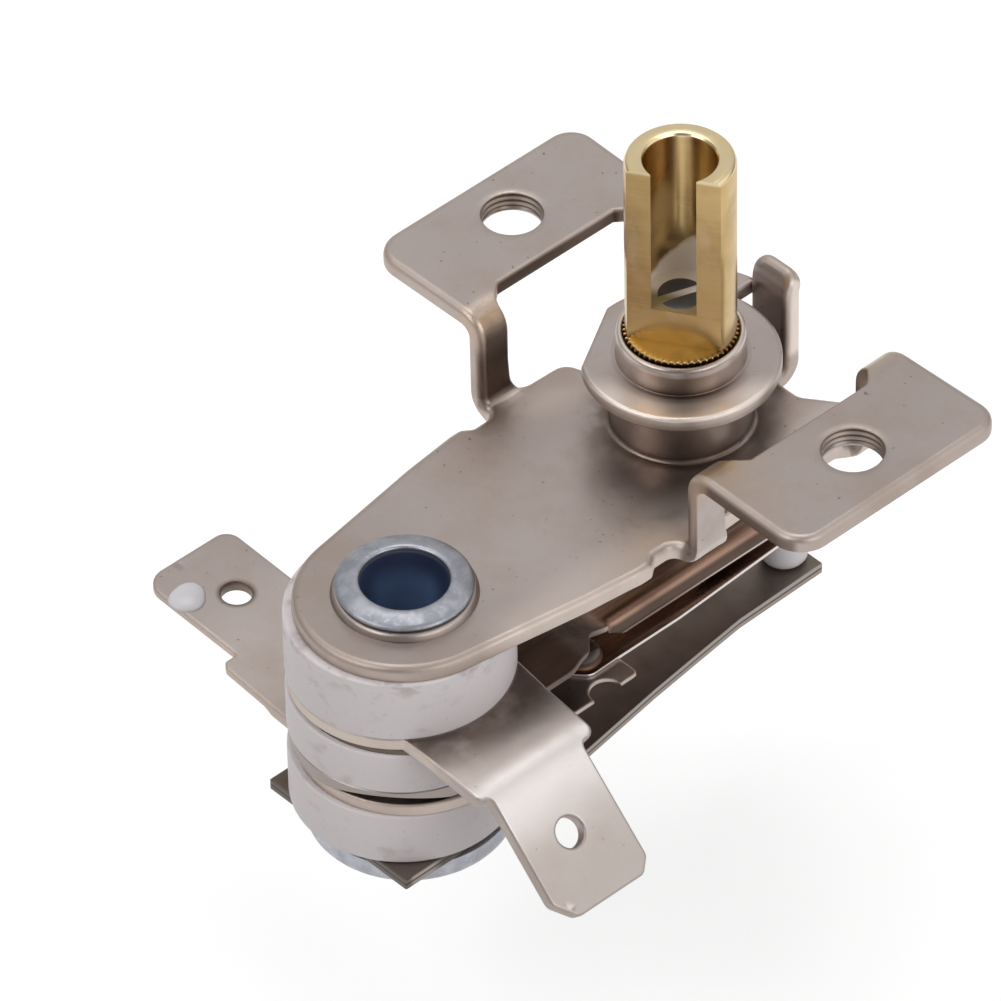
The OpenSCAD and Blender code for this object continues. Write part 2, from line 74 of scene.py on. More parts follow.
def rounded(corners, step=0.15):
    """A closed outline through corners (x, y, radius): each corner is an arc tangent to its two sides."""
    c = np.array([k[:2] for k in corners], float)
    radius = [k[2] for k in corners]
    points = []
    for i, r in enumerate(radius):
        a, b, d = c[i - 1], c[i], c[(i + 1) % len(c)]
        u, v = (a - b) / np.linalg.norm(a - b), (d - b) / np.linalg.norm(d - b)
        half = math.acos(np.clip(u @ v, -1, 1)) / 2
        if r <= 0 or half > math.radians(89.7):
            points.append(b[None])
            continue
        mid = (u + v) / np.linalg.norm(u + v)
        centre = b + mid * r / math.sin(half)
        p, q = b + u * r / math.tan(half) - centre, b + v * r / math.tan(half) - centre
        a0 = math.atan2(p[1], p[0])
        turn = (math.atan2(q[1], q[0]) - a0 + math.pi) % (2 * math.pi) - math.pi
        n = max(4, int(math.ceil(abs(turn) * r / step)))
        t = a0 + turn * np.linspace(0, 1, n + 1)
        points.append(centre + r * np.c_[np.cos(t), np.sin(t)])
    return np.concatenate(points)


def evened(loop, step=0.3):
    """The same closed outline with extra points on its long sides, so that no side is longer than a step."""
    nxt = np.roll(loop, -1, axis=0)
    n = np.maximum(1, np.ceil(np.linalg.norm(nxt - loop, axis=1) / step)).astype(int)
    start = np.repeat(np.arange(len(loop)), n)
    part = (np.arange(n.sum()) - np.repeat(np.cumsum(n) - n, n)) / n[start]
    return loop[start] + part[:, None] * (nxt - loop)[start]


def area(loop):
    """Signed area of a closed outline, positive when it runs anticlockwise."""
    x, y = loop.T
    return 0.5 * np.sum(x * np.roll(y, -1) - np.roll(x, -1) * y)


def inward(loop):
    """Mitred unit step to the left of each point of an outline, which is inward when it is anticlockwise."""
    d = np.roll(loop, -1, axis=0) - loop
    d /= np.linalg.norm(d, axis=1)[:, None]
    n = np.c_[-d[:, 1], d[:, 0]]
    m = n + np.roll(n, 1, axis=0)
    return m / np.maximum(0.35, np.sum(m * m, axis=1) / 2)[:, None]


def quads(rows, cols, wrap_rows=False, wrap_cols=False):
    """Corner indices of the faces of a grid of rows by cols points."""
    i = np.arange(rows if wrap_rows else rows - 1)[:, None]
    j = np.arange(cols if wrap_cols else cols - 1)[None]
    i1, j1 = (i + 1) % rows, (j + 1) % cols
    return np.stack([i * cols + j, i1 * cols + j, i1 * cols + j1, i * cols + j1], axis=-1).reshape(-1, 4)


def quarter(r, n=4):
    """Inset and height steps of a rounded edge: from the wall (0, r below the face) to the face (r, 0)."""
    a = np.linspace(0, math.pi / 2, n + 1)
    return np.c_[r - r * np.cos(a), r * np.sin(a) - r]


def wall(t, r_top, r_low):
    """Edge profile of a sheet from its top face to its lower face: (inset, height), rounded at both ends."""
    top = quarter(r_top)[::-1] + [0, t / 2]
    low = quarter(r_low) * [1, -1] - [0, t / 2]
    flat = max(r_top, r_low) + 0.06
    return np.r_[[[flat, t / 2]], top, low, [[flat, -t / 2]]]


class Form:
    """A mesh in the making: surfaces with their points in millimetres, joined where their edges meet."""

    def __init__(self):
        self.points, self.faces, self.marks, self.count = [], [], [], 0

    def add(self, points, faces, mark=None):
        """Adds points, faces (rows of indices) and one mark a point, from 0 on a face to 1 on a cut edge."""
        points = np.asarray(points, float).reshape(-1, 3)
        self.points.append(points)
        self.faces += (np.asarray(faces) + self.count).tolist()
        self.marks.append(np.zeros(len(points)) if mark is None else np.asarray(mark, float).ravel())
        self.count += len(points)
        return self

    def revolve(self, profile, centre=(0, 0), n=96, closed=True, warp=None):
        """A profile (r, z) carried round a vertical axis: x = r cos a, y = r sin a, then moved by warp."""
        profile = np.asarray(profile, float)
        a = np.arange(n) * 2 * math.pi / n
        x, y = profile[:, :1] * np.cos(a), profile[:, :1] * np.sin(a)
        x, y, z = centre[0] + x, centre[1] + y, profile[:, 1:] + 0 * a
        if warp:
            x, y, z = warp(x, y, z)
        return self.add(np.stack([x, y, z], -1), quads(len(profile), n, closed, True)[:, ::-1])

    def sheet(self, loops, t, place, r_top=0.12, r_low=0.12, walls=None, open_loops=(), grid=0.6):
        """A flat sheet with rounded edges: the edge profile is carried along each outline, the two faces are
        filled between the innermost lines, and place(x, y, h) bends it. The first outline is the rim."""
        edges, links, start = [], [], 0
        for k, loop in enumerate(loops):
            loop = loop if (area(loop) > 0) == (k == 0) else loop[::-1]
            n = len(loop)
            if k in open_loops:
                edges.append(loop)
            else:
                profile = wall(t, r_top, r_low) if not walls or k not in walls else walls[k]
                step = inward(loop)
                xy = loop[None] + profile[:, :1, None] * step[None]
                h = np.repeat(profile[:, 1:], n, axis=1)
                ends = np.abs(profile[:, 1]) < t / 2 - 1e-6
                marks = np.repeat(ends[:, None], n, axis=1)
                self.add(place(xy[..., 0], xy[..., 1], h), quads(len(profile), n, False, True), marks)
                edges.append(xy[0])
            links.append(np.c_[np.arange(n), (np.arange(n) + 1) % n] + start)
            start += n
        rim = np.concatenate(edges)
        lo, hi = rim.min(0), rim.max(0)
        gx, gy = np.meshgrid(np.arange(lo[0], hi[0], grid), np.arange(lo[1], hi[1], grid))
        inner = np.c_[gx.ravel(), gy.ravel()]
        inner = inner[inside(inner, edges, grid * 0.45)]
        points = np.concatenate([rim, inner])
        found = delaunay_2d_cdt(points.tolist(), np.concatenate(links).tolist(), [], 0, 1e-6)
        flat = np.array([v[:] for v in found[0]])
        tri = np.array([f for f in found[2]])
        tri = tri[inside(flat[tri].mean(1), edges, 0)]
        turn = np.cross(flat[tri[:, 1]] - flat[tri[:, 0]], flat[tri[:, 2]] - flat[tri[:, 0]])
        tri = np.where((turn > 0)[:, None], tri, tri[:, ::-1])
        top = np.full(len(flat), t / 2)
        self.add(place(flat[:, 0], flat[:, 1], top), tri)
        self.add(place(flat[:, 0], flat[:, 1], -top), tri[:, ::-1])
        return self

    def mesh(self, name, sharp=None):
        """The finished object, with joints closed and the marks kept as the attribute edge_mark."""
        data = bpy.data.meshes.new(name)
        data.from_pydata((np.concatenate(self.points) * MM).tolist(), [], self.faces)
        mark = data.attributes.new("edge_mark", "FLOAT", "POINT")
        mark.data.foreach_set("value", np.concatenate(self.marks).astype(np.float32))
        shell = bmesh.new()
        shell.from_mesh(data)
        bmesh.ops.remove_doubles(shell, verts=shell.verts, dist=2e-7)
        bmesh.ops.dissolve_degenerate(shell, edges=shell.edges, dist=1e-8)
        bmesh.ops.recalc_face_normals(shell, faces=shell.faces)
        shell.to_mesh(data)
        shell.free()
        data.polygons.foreach_set("use_smooth", np.ones(len(data.polygons), bool))
        if sharp:
            data.set_sharp_from_angle(angle=math.radians(sharp))
        piece = bpy.data.objects.new(name, data)
        bpy.context.scene.collection.objects.link(piece)
        return piece


def inside(points, loops, margin):
    """True for points inside the first outline, outside the others, and at least a margin from every line."""
    odd = np.zeros(len(points), bool)
    near = np.zeros(len(points), bool)
    x, y = points[:, :1], points[:, 1:]
    for loop in loops:
        a, b = loop[None], np.roll(loop, -1, axis=0)[None]
        cross = (a[..., 1] > y) != (b[..., 1] > y)
        rise = np.where(a[..., 1] == b[..., 1], 1.0, b[..., 1] - a[..., 1])
        at = a[..., 0] + (y - a[..., 1]) * (b[..., 0] - a[..., 0]) / rise
        odd ^= (np.sum(cross & (x < at), axis=1) % 2) == 1
        near |= np.min((x - a[..., 0]) ** 2 + (y - a[..., 1]) ** 2, axis=1) < margin ** 2
    return odd & ~near


def strip_path(pieces):
    """A bent strip's middle line: pieces are straight lengths or (radius, degrees), upward turns positive.
    The answer gives, for a length s along it and a height h over it, the way along and the rise."""
    starts, s, p, a = [], 0.0, np.zeros(2), 0.0
    for piece in pieces:
        starts.append((s, p.copy(), a, piece))
        if isinstance(piece, tuple):
            r, turn = piece[0], math.radians(piece[1])
            side = math.copysign(1, turn)
            centre = p + side * r * np.array([-math.sin(a), math.cos(a)])
            a += turn
            p = centre - side * r * np.array([-math.sin(a), math.cos(a)])
            s += r * abs(turn)
        else:
            p = p + piece * np.array([math.cos(a), math.sin(a)])
            s += piece

    def at(length, height):
        u, w = np.zeros_like(length), np.zeros_like(length)
        for k, (s0, q, b, piece) in enumerate(starts):
            last = starts[k + 1][0] if k + 1 < len(starts) else np.inf
            here = (length >= s0) & (length < last) if k else length < last
            d = length - s0
            if isinstance(piece, tuple):
                side = math.copysign(1, piece[1])
                turn = b + side * d / piece[0]
                cu = q[0] - side * piece[0] * math.sin(b)
                cw = q[1] + side * piece[0] * math.cos(b)
                pu, pw = cu + side * piece[0] * np.sin(turn), cw - side * piece[0] * np.cos(turn)
            else:
                turn = np.full_like(length, b)
                pu, pw = q[0] + d * math.cos(b), q[1] + d * math.sin(b)
            u = np.where(here, pu - height * np.sin(turn), u)
            w = np.where(here, pw + height * np.cos(turn), w)
        return u, w

    return at


def circle(cx, cy, r, n=48):
    """n points of a circle, anticlockwise from +X."""
    a = np.arange(n) * 2 * math.pi / n
    return np.c_[cx + r * np.cos(a), cy + r * np.sin(a)]


def mirrored(corners):
    """Corners of the -Y half followed by their mirror image on the +Y half."""
    return corners + [(x, -y, r) for x, y, r in corners[::-1]]


def plain(points):
    """Points of an arc as corners with no radius."""
    return [(x, y, 0) for x, y in points]


# Frame: plate, four legs, two ears and the stop tab are one folded sheet, cut flat and then bent
LEG_FOLD, STOP_FOLD = 7.65, 6.15
EAR_IN, EAR_MID, EAR_OUT = 15.27, 18.78, 22.38
EAR_HALF, LEG_IN_X = 7.45, 5.4
EAR_HOLES, EAR_HOLE_R = ((0.12, EAR_MID + 0.17), (0.12, 0.19 - EAR_MID)), 1.75
NECK_R, NECK_ROOT = 4.0, 4.3
leg_path = strip_path([(1.0, 90), 3.95, (1.15, -90), 20.0])
stop_path = strip_path([(1.0, 90), 4.75, (1.4, -55), 20.0])


def fold_frame(x, y, h):
    """Past the fold the sheet follows the leg's path outward and up, and the tab's path along +X."""
    middle = (PLATE_TOP + PLATE_LOW) / 2
    out = np.abs(y) - LEG_FOLD
    u, w = leg_path(np.maximum(out, 0), h)
    leg = out > 0
    along = x - STOP_FOLD
    p, q = stop_path(np.maximum(along, 0), h)
    tab = (along > 0) & (np.abs(y) < 1.6)
    return np.stack([
        np.where(tab, STOP_FOLD + p, x),
        np.where(leg, np.sign(y) * (LEG_FOLD + u), y),
        middle + np.where(tab, q, np.where(leg, w, h))], -1)


def frame_piece():
    """Folded sheet with a round end, rounded on its upper edge as a stamping is, plus the drawn neck."""
    rim = mirrored(
        plain(arc(STACK_X, 0, 6.2, 182, 261.1)) + [
            (-14, -7.35, 5), (-10.4, -7.75, 2), (-9.6, -7.75, 0.6), (-9.0, -7.3, 0.3), (-EAR_HALF, -7.3, 0.7),
            (-EAR_HALF - 0.1, -EAR_OUT, 1.9), (EAR_HALF + 0.55, -EAR_OUT, 1.6), (EAR_HALF + 0.3, -14.0, 2.0),
            (EAR_HALF, -12.5, 2.0), (EAR_HALF, -5.4, 0.6), (5.9, -3.3, 0.9),
            (5.9, -1.5, 0.35), (13.92, -1.5, 0.9)])
    window = [
        (-4.95, 8.15, 0.35), (-4.4, 7.75, 0.5), (-1.75, 7.65, 1.0), (-1.0, 5.6, 0.8), (1.0, 5.6, 0.8),
        (1.75, 7.65, 1.0), (4.4, 7.75, 0.5), (4.95, 8.15, 0.35), (5.3, 9.6, 1.2), (LEG_IN_X, 11.0, 2.0),
        (LEG_IN_X, 14.45, 0.5), (4.4, EAR_IN, 0.12), (-4.4, EAR_IN, 0.12), (-LEG_IN_X, 14.45, 0.5),
        (-LEG_IN_X, 11.0, 2.0), (-5.3, 9.6, 1.2)]
    holes = [evened(rounded([(x, s * y, r) for x, y, r in window])) for s in (1, -1)]
    crisp = wall(SHEET, 0.15, 0.12)
    threaded = np.array([
        [0.5, 0.5], [0.14, 0.5], [0.05, 0.47], [0, 0.42], [0.24, 0.3], [0.24, 0.22], [0, 0.1], [0, 0.04],
        [0.24, -0.08], [0.24, -0.16], [0, -0.28], [0, -0.34], [0.2, -0.44], [0.2, -0.5], [0, -0.6], [0, -0.76],
        [0.06, -0.82], [0.16, -0.82], [0.24, -0.5], [0.5, -0.5]])
    form = Form().sheet(
        [evened(rounded(rim)), *holes, *(circle(x, y, EAR_HOLE_R, 64) for x, y in EAR_HOLES),
         circle(STACK_X, 0, 3.02, 48), circle(0, 0, NECK_ROOT, 96)],
        SHEET, fold_frame, 0.42, 0.12, {1: crisp, 2: crisp, 3: threaded, 4: threaded}, {6}, 0.5)
    turn, root_r = np.linspace(math.pi, 1.5 * math.pi, 8), NECK_ROOT - NECK_R
    root = np.c_[NECK_ROOT + root_r * np.cos(turn), PLATE_TOP + root_r + root_r * np.sin(turn)]
    form.revolve(np.r_[[
        [NECK_ROOT, PLATE_LOW], [3.4, PLATE_LOW], [3.1, -7.05], [2.85, -6.9], [2.7, -6.65], [2.62, -6.3],
        [2.6, -5.9], [2.6, -2.75], [2.68, -2.58], [2.85, -2.47], [3.1, -2.45], [3.7, -2.45], [3.88, -2.5],
        [3.98, -2.62], [NECK_R, -2.8]], root], closed=False)
    form.revolve([
        [3.3, -6.3], [4.16, -6.3], [4.08, -6.02], [4.0, -5.84], [3.93, -5.73], [3.84, -5.67],
        [3.3, -5.66]], (STACK_X, 0))
    return form.mesh("frame_sheet")


def rivet_piece():
    """Tube profile with a rolled rim above and a broad rounded head below, carried round the stack's axis."""
    return Form().revolve([
        [2.475, -22.15], [2.475, -14], [2.475, -5.5], [2.48, -5.24], [2.51, -5.13], [2.58, -5.07], [2.72, -5.05],
        [2.95, -5.08], [3.3, -5.15], [3.6, -5.23], [3.76, -5.31], [3.83, -5.4], [3.84, -5.48], [3.78, -5.56],
        [3.62, -5.62], [3.6, -6.09], [2.975, -6.09], [2.975, Z_HEAD], [5.7, Z_HEAD], [5.85, Z_HEAD - 0.06],
        [5.9, Z_HEAD - 0.25], [5.9, -22.0], [5.83, -22.3], [5.65, -22.55], [5.35, -22.74], [4.95, Z_END],
        [3.3, Z_END], [2.95, -22.73], [2.66, -22.52], [2.52, -22.3]], (STACK_X, 0), 128).mesh("rivet_tube", 50)


def ring_piece(name, z_low, z_top, spigot):
    """Ring profile with small rounded edges and a spigot below, carried round the rings' own axis."""
    e = quarter(0.17)
    outer = np.r_[[RING_R, z_low] + e[::-1] * [-1, -1], [RING_R, z_top] + e * [-1, 1]]
    core = [[3.375, z_top], [3.375, z_low - spigot]]
    if spigot:
        core += [[4.1, z_low - spigot], [4.1, z_low]]
    return Form().revolve(np.r_[outer, core], RING_CENTRE, 128).mesh(name, 50)


def right_tab_piece():
    """Disc and neck cut flat, bent down a little along -Y and then to the tab's slope of 45 degrees."""
    path = strip_path([6.26, (3.0, -5.3), 3.46, (1.6, -39.7), 20.0])

    def place(x, y, h):
        u, w = path(np.maximum(-y, 0), h)
        return np.stack([STACK_X + x, np.where(y < 0, -u, y), (Z_TAB1 + Z_BLADE1) / 2 + np.where(y < 0, w, h)], -1)

    rim = plain(arc(-0.25, 0.22, 6.32, -41.9, 228.2)) + [
        (-4.45, -10.5, 0.4), (-3.75, -10.6, 0.3), (-3.75, -17.3, 0.7), (-2.6, -18.6, 0.6), (2.25, -18.6, 0.5),
        (2.98, -17.8, 0.5), (2.92, -10.75, 0.3), (4.0, -10.75, 0.6), (4.1, -6.8, 3.0)]
    return Form().sheet(
        [evened(rounded(rim)), circle(0, 0, 4.5), circle(-0.5, -14.41, 0.875, 40)],
        0.8, place, 0.16, 0.1, grid=0.5).mesh("right_tab")


def left_tab_piece():
    """Disc, tab and blade plate cut flat, with the tab bent up a little along +Y."""
    path = strip_path([6.51, (4.0, 2.6), 20.0])

    def place(x, y, h):
        u, w = path(np.maximum(y, 0), h)
        thin = np.clip((x - 6.6) / 0.6, 0, 1) * (np.abs(y) < 6.2)
        h = h * (1 - 0.65 * thin) + 0.26 * thin
        slim = np.clip((y - 6.4) / 0.6, 0, 1) * 0.3
        u, w = np.where(y > 6.4, path(y, h * (1 - slim / 0.8) + slim / 2), (u, w))
        rise = np.where((y > 0) & (thin == 0), w, h)
        return np.stack([STACK_X + x, np.where(y > 0, u, y), (Z_TAB2 + Z_RING3) / 2 + rise], -1)

    half, end, notch = 5.57, 12.15, 9.85
    rim = plain(arc(0, 0, 6.32, 134.8, 298.2)) + plain(arc(notch, -half, 1.05, 180, 0)) + [
        (end, -half, 0.3), (end, half, 0.3)] + plain(arc(notch, half, 1.05, 0, -180)) + [
        (4.45, half, 0.5), (4.45, 10.1, 0.2), (3.85, 10.7, 0.2), (3.22, 10.7, 0.2), (3.22, 18.5, 0.95),
        (-3.1, 18.55, 1.35), (-3.1, 10.75, 0.2), (-3.95, 10.75, 0.25), (-4.25, 10.3, 0.3)]
    punched = np.array([
        [0.4, 0.4], [0.14, 0.4], [0.04, 0.36], [0, 0.26], [0, -0.7], [0.05, -0.8], [0.12, -0.8], [0.2, -0.4],
        [0.4, -0.4]])
    return Form().sheet(
        [evened(rounded(rim)), circle(0, 0, 4.5), circle(0.15, 14.35, 0.89, 40)],
        0.8, place, 0.16, 0.1, {2: punched}, grid=0.55).mesh("left_tab")


def washer_piece():
    """Flat ring whose lower rim arches up in front: the rise falls off with the square of the way sideways."""
    front = math.radians(219)

    def arch(x, y, z):
        dx, dy = x - RING_CENTRE[0], y - RING_CENTRE[1]
        side = dy * math.cos(front) - dx * math.sin(front)
        ahead = dx * math.cos(front) + dy * math.sin(front)
        rise = np.clip(0.56 - side ** 2 * 0.0457, 0, None) * np.clip((ahead - 4.7) / 0.4, 0, 1)
        return x, y, np.where(z < -15.8, z + rise, z)

    return Form().revolve([
        [4.5, Z_TAB2], [5.2, Z_TAB2], [5.9, Z_TAB2], [6.22, Z_TAB2], [6.32, Z_TAB2 + 0.1], [6.32, Z_WASHER - 0.1],
        [6.22, Z_WASHER], [4.5, Z_WASHER]], RING_CENTRE, 160, warp=arch).mesh("clamp_ring", 40)


def upper_blade_piece():
    """Eye and arm cut flat, the sides of the arm turned down, and the arm stepped down along +X."""
    path = strip_path([7.38, (1.5, -27.7), 3.778, (1.5, 27.7), 40.0])
    turned = strip_path([2.8, (0.4, -90), 10.0])

    def place(x, y, h):
        side, drop = turned(np.abs(y), h)
        arm = x > 12.5
        u, w = path(np.maximum(x, 0), np.where(arm, drop, h))
        return np.stack([
            STACK_X + np.where(x > 0, u, x), np.where(arm, np.sign(y) * side, y),
            (Z_BLADE1 + Z_RING2) / 2 + np.where(x > 0, w, h)], -1)

    half = 4.2
    rim = mirrored(plain(arc(0, 0, 6.32, 180, 270)) + [
        (6.6, -6.32, 2.0), (8.6, -5.5, 2.0), (10.4, -3.75, 2.0), (12.4, -3.35, 1.0), (13.6, -half, 1.0),
        (27.44, -half, 0.5)])
    return Form().sheet(
        [evened(rounded(rim), 0.25), circle(0, 0, 4.5)], 0.4, place, 0.1, 0.1, grid=0.4).mesh("upper_blade")


def lower_blade_piece():
    """Thin flat spring with a long slot."""
    rim = mirrored([
        (-11.7, -3.25, 0.5), (-10.85, -4.15, 0.8), (-8.65, -4.1, 2), (-4, -4.1, 2), (5.4, -3.6, 1.5),
        (8.38, -2.0, 0.6)])
    slot = np.r_[arc(-6.2, 0, 0.8, 90, 270), arc(-0.2, 0, 0.8, -90, 90)]
    return Form().sheet(
        [evened(rounded(rim)), evened(slot)], 0.2, lambda x, y, h: np.stack([x, y, Z_TAB2 + 0.1 + h], -1),
        0.05, 0.05, grid=0.6).mesh("lower_blade")


STRIP_END, STRIP_SLOPE = -26.25, 1.7
strip_path_down = strip_path([11.78, (8.0, -STRIP_SLOPE), 40.0])


def lay_strip(x, y, h):
    """The strip is level in the stack and slopes down by 1.7 degrees past it."""
    u, w = strip_path_down(x - STRIP_END, h)
    return np.stack([u + STRIP_END, y, (Z_BIMETAL + Z_HEAD) / 2 + w], -1)


def strip_piece():
    """Tapering flat strip with a slot and a hole."""
    rim = mirrored([
        (STRIP_END, -5.6, 0.12), (-15.6, -5.6, 2), (-14.3, -5.35, 1), (-12, -4.85, 3), (-5.7, -3.78, 5),
        (-1.4, -3.17, 3), (1.9, -2.72, 2.5), (8.68, -2.44, 0.12)])
    slot = np.r_[arc(-11.6, 0, 0.65, 90, 270), arc(-7.2, 0, 0.65, -90, 90)]
    return Form().sheet(
        [evened(rounded(rim)), circle(STACK_X, 0, 3.03), evened(slot), circle(-13.1, 3.3, 0.95, 32)],
        0.7, lay_strip, 0.07, 0.07, grid=0.7).mesh("strip")


def bead_piece():
    """Pillar profile with a rounded cap and a stub, carried round an axis that leans with the strip."""
    lean = math.radians(STRIP_SLOPE)
    cx, cy = 7.4, -0.55

    def tilt(x, y, z):
        dx, dz = x - BEND_X, z - Z_BIMETAL
        c, s = math.cos(lean), math.sin(lean)
        return BEND_X + dx * c + dz * s, y, Z_BIMETAL - dx * s + dz * c

    low, top = Z_BIMETAL, Z_BIMETAL + 4.85
    return Form().revolve([
        [0, low - 1.2], [0.55, low - 1.2], [0.7, low - 1.1], [0.7, low], [0.95, low], [1.2, low + 0.12],
        [1.36, low + 0.36], [1.4, low + 0.7], [1.4, top - 0.8], [1.33, top - 0.5], [1.1, top - 0.25],
        [0.75, top - 0.08], [0.4, top], [0, top]], (cx, cy), 64, warp=tilt).mesh("bead", 50)


def pin_piece():
    """Plain pin with a bevelled lower end."""
    return Form().revolve([
        [0, -14.08], [1.05, -14.08], [1.35, -13.95], [1.5, -13.68], [1.5, -5.3], [1.4, -5.12], [0, -5.12]],
        n=64).mesh("pin", 50)


def contact_piece(name, z_low, z_top):
    """Short button with rounded rims."""
    return Form().revolve([
        [0, z_low], [1.45, z_low], [1.63, z_low + 0.07], [1.7, z_low + 0.22], [1.7, z_top - 0.2],
        [1.63, z_top - 0.06], [1.5, z_top], [0, z_top]], (3.4, 0), 64).mesh(name, 50)


def blade_rivet_piece():
    """Two small rivets, each a shank with two flattened heads."""
    form = Form()
    for side in (-1, 1):
        form.revolve([
            [0, -16.98], [0.85, -16.98], [1.25, -16.8], [1.4, -16.53], [1.4, -16.48], [0.8, -16.48], [0.8, -16.0],
            [1.3, -16.0], [1.28, -15.85], [1.1, -15.65], [0.8, -15.56], [0, -15.55]], (-10.2, 2.5 * side), 40)
    return form.mesh("blade_rivet_pair", 50)


# Shaft: threaded root and knurl turned about Z, and above them a bored stem with a driving flat
FLAT_TURN = math.radians(212.6)
FLAT, STEM_R, BORE_R = 1.6, 3.1, 2.05
STEM_LOW, FLOOR, STEM_TOP = 0.2, 2.85, 12.65


def turned_to_flat(x, y, z):
    """Points written with the flat's normal along +X, turned to the flat's direction."""
    c, s = math.cos(FLAT_TURN), math.sin(FLAT_TURN)
    return np.stack([x * c - y * s, x * s + y * c, z], -1)


def stem_surface(form):
    """C-shaped section carried up the stem: each line runs up the outer wall, over the top and down the bore."""
    n = 72
    open_out, open_in = math.acos(FLAT / STEM_R), math.acos(FLAT / BORE_R)
    t = np.linspace(0, 1, n + 1)[:, None]
    a_out = open_out + t * 2 * (math.pi - open_out)
    a_in = open_in + t * 2 * (math.pi - open_in)
    lines = np.array([
        [0, STEM_LOW], [0, FLOOR], [0, STEM_TOP - 0.35], [0.06, STEM_TOP - 0.15], [0.16, STEM_TOP - 0.04],
        [0.3, STEM_TOP], [0.8, STEM_TOP], [0.92, STEM_TOP - 0.04], [1, STEM_TOP - 0.15], [1, FLOOR]])
    k, z = lines[:, 0][None], lines[:, 1][None] + 0 * t
    x = (1 - k) * STEM_R * np.cos(a_out) + k * BORE_R * np.cos(a_in)
    y = (1 - k) * STEM_R * np.sin(a_out) + k * BORE_R * np.sin(a_in)
    form.add(turned_to_flat(x, y, z), quads(n + 1, len(lines)))
    for end in (0, n):
        form.add(turned_to_flat(x[end], y[end], z[end]), [list(range(1, len(lines)))])
    y_out, y_in = y[0, 0], y[0, -1]
    face = np.array([[FLAT, -y_out, STEM_LOW], [FLAT, y_out, STEM_LOW], [FLAT, y_out, FLOOR], [FLAT, y_in, FLOOR],
                     [FLAT, -y_in, FLOOR], [FLAT, -y_out, FLOOR]])
    form.add(turned_to_flat(*face.T), [[0, 1, 2, 3, 4, 5]])
    form.add(turned_to_flat(x[:, -1], y[:, -1], z[:, -1]), [list(range(n + 1))])
    form.add(turned_to_flat(x[:, 0], y[:, 0], z[:, 0]), [list(range(n + 1))])
    return form


def shaft_piece():
    """Root turned about Z with a helical thread and a knurled band, and the stem above it."""
    def ribs(x, y, z):
        a, r = np.arctan2(y, x), np.hypot(x, y)
        thread = 0.14 * np.abs(((z / 0.75 - a / (2 * math.pi)) % 1) * 2 - 1)
        knurl = 0.13 * np.abs(np.sin(a * 27)) ** 0.7
        cut = np.where((z < -2.5) & (z > -7.45) & (r > 2), thread, np.where((z > -2.3) & (r > 3.0), knurl, 0))
        return x * (r - cut) / np.maximum(r, 1e-6), y * (r - cut) / np.maximum(r, 1e-6), z

    heights = np.arange(-7.4, -2.5, 0.125)
    profile = np.r_[
        [[1.54, -5.0], [1.54, -7.5], [1.65, -7.6], [2.2, -7.6], [2.45, -7.5]], np.c_[0 * heights + 2.55, heights],
        [[2.55, -2.4], [3.15, -2.4], [3.2, -2.25], [3.23, 0.36], [3.21, 0.45], [3.14, 0.49], [2.9, 0.5],
         [2.7, 0.5], [0, 0.5], [0, -5.0]]]
    form = Form().revolve(profile, n=432, warp=ribs)
    return stem_surface(form).mesh("stem", 35)


def stop_plate_piece():
    """Flat disc with a tongue and a flat, whose middle is drawn up into a collar."""
    reach, r, side, turn = 7.5, 5.6, 1.53, 65.2
    near, far = math.degrees(math.asin(side / r)), math.degrees(math.asin(side / reach))
    cut, face = math.degrees(math.acos(5.0 / r)), 120.6
    rim = np.r_[arc(0, 0, reach, far, turn - far), arc(0, 0, r, turn - near, face - cut),
                arc(0, 0, r, face + cut, 360 + near)]
    form = Form().sheet(
        [evened(rim), circle(0, 0, 3.68, 96)], 0.95,
        lambda x, y, h: np.stack([x, y, -1.925 + h], -1), 0.2, 0.22, open_loops={1}, grid=0.5)
    a = np.linspace(math.pi, 1.5 * math.pi, 7)
    root = np.c_[3.68 + 0.05 * np.cos(a), -1.4 + 0.05 * np.sin(a)]
    form.revolve(np.r_[[
        [3.68, -2.4], [3.5, -2.4], [3.3, -2.34], [3.24, -2.2], [3.24, 0.15], [3.27, 0.27], [3.33, 0.34],
        [3.42, 0.34], [3.52, 0.28], [3.59, 0.17], [3.62, 0.0]], root], closed=False)
    return form.mesh("stop_disc")


def screw_piece():
    """Slotted screw: lines across the slot carried along it, their ends on the rim, with walls and an end."""
    r, top, slot, deep, low = 1.4, 2.95, 0.27, 0.5, -5.0
    dome = np.sin(np.linspace(math.pi / 2, math.asin(slot / r + 0.02), 14))
    across = np.r_[dome, slot / r, -slot / r, -dome[::-1]][:, None]
    sunk = (np.abs(across) <= slot / r)
    v = np.linspace(-1, 1, 25)[None]
    y = r * across + 0 * v
    x = v * np.sqrt(np.maximum(r * r - y * y, 0))
    z = np.where(sunk, top - deep, top - 0.14 * ((x * x + y * y) / r ** 2) ** 2)
    c, s = math.cos(math.radians(-19)), math.sin(math.radians(-19))
    form = Form().add(np.stack([x * c - y * s, x * s + y * c, z], -1), quads(len(across), 25))
    for e in (0, -1):
        px, py, pz = (np.stack([q[:, e], q[:, e]]) for q in (x, y, z))
        pz = np.stack([z[:, e], 0 * z[:, e] + low])
        form.add(np.stack([px * c - py * s, px * s + py * c, pz], -1), quads(2, len(across)))
    end = np.r_[np.c_[x[:, 0], y[:, 0]], np.c_[x[:, -1], y[:, -1]][::-1]]
    form.add(np.c_[end[:, 0] * c - end[:, 1] * s, end[:, 0] * s + end[:, 1] * c, 0 * end[:, 0] + low],
             [list(range(len(end)))])
    return form.mesh("slotted_screw", 40)


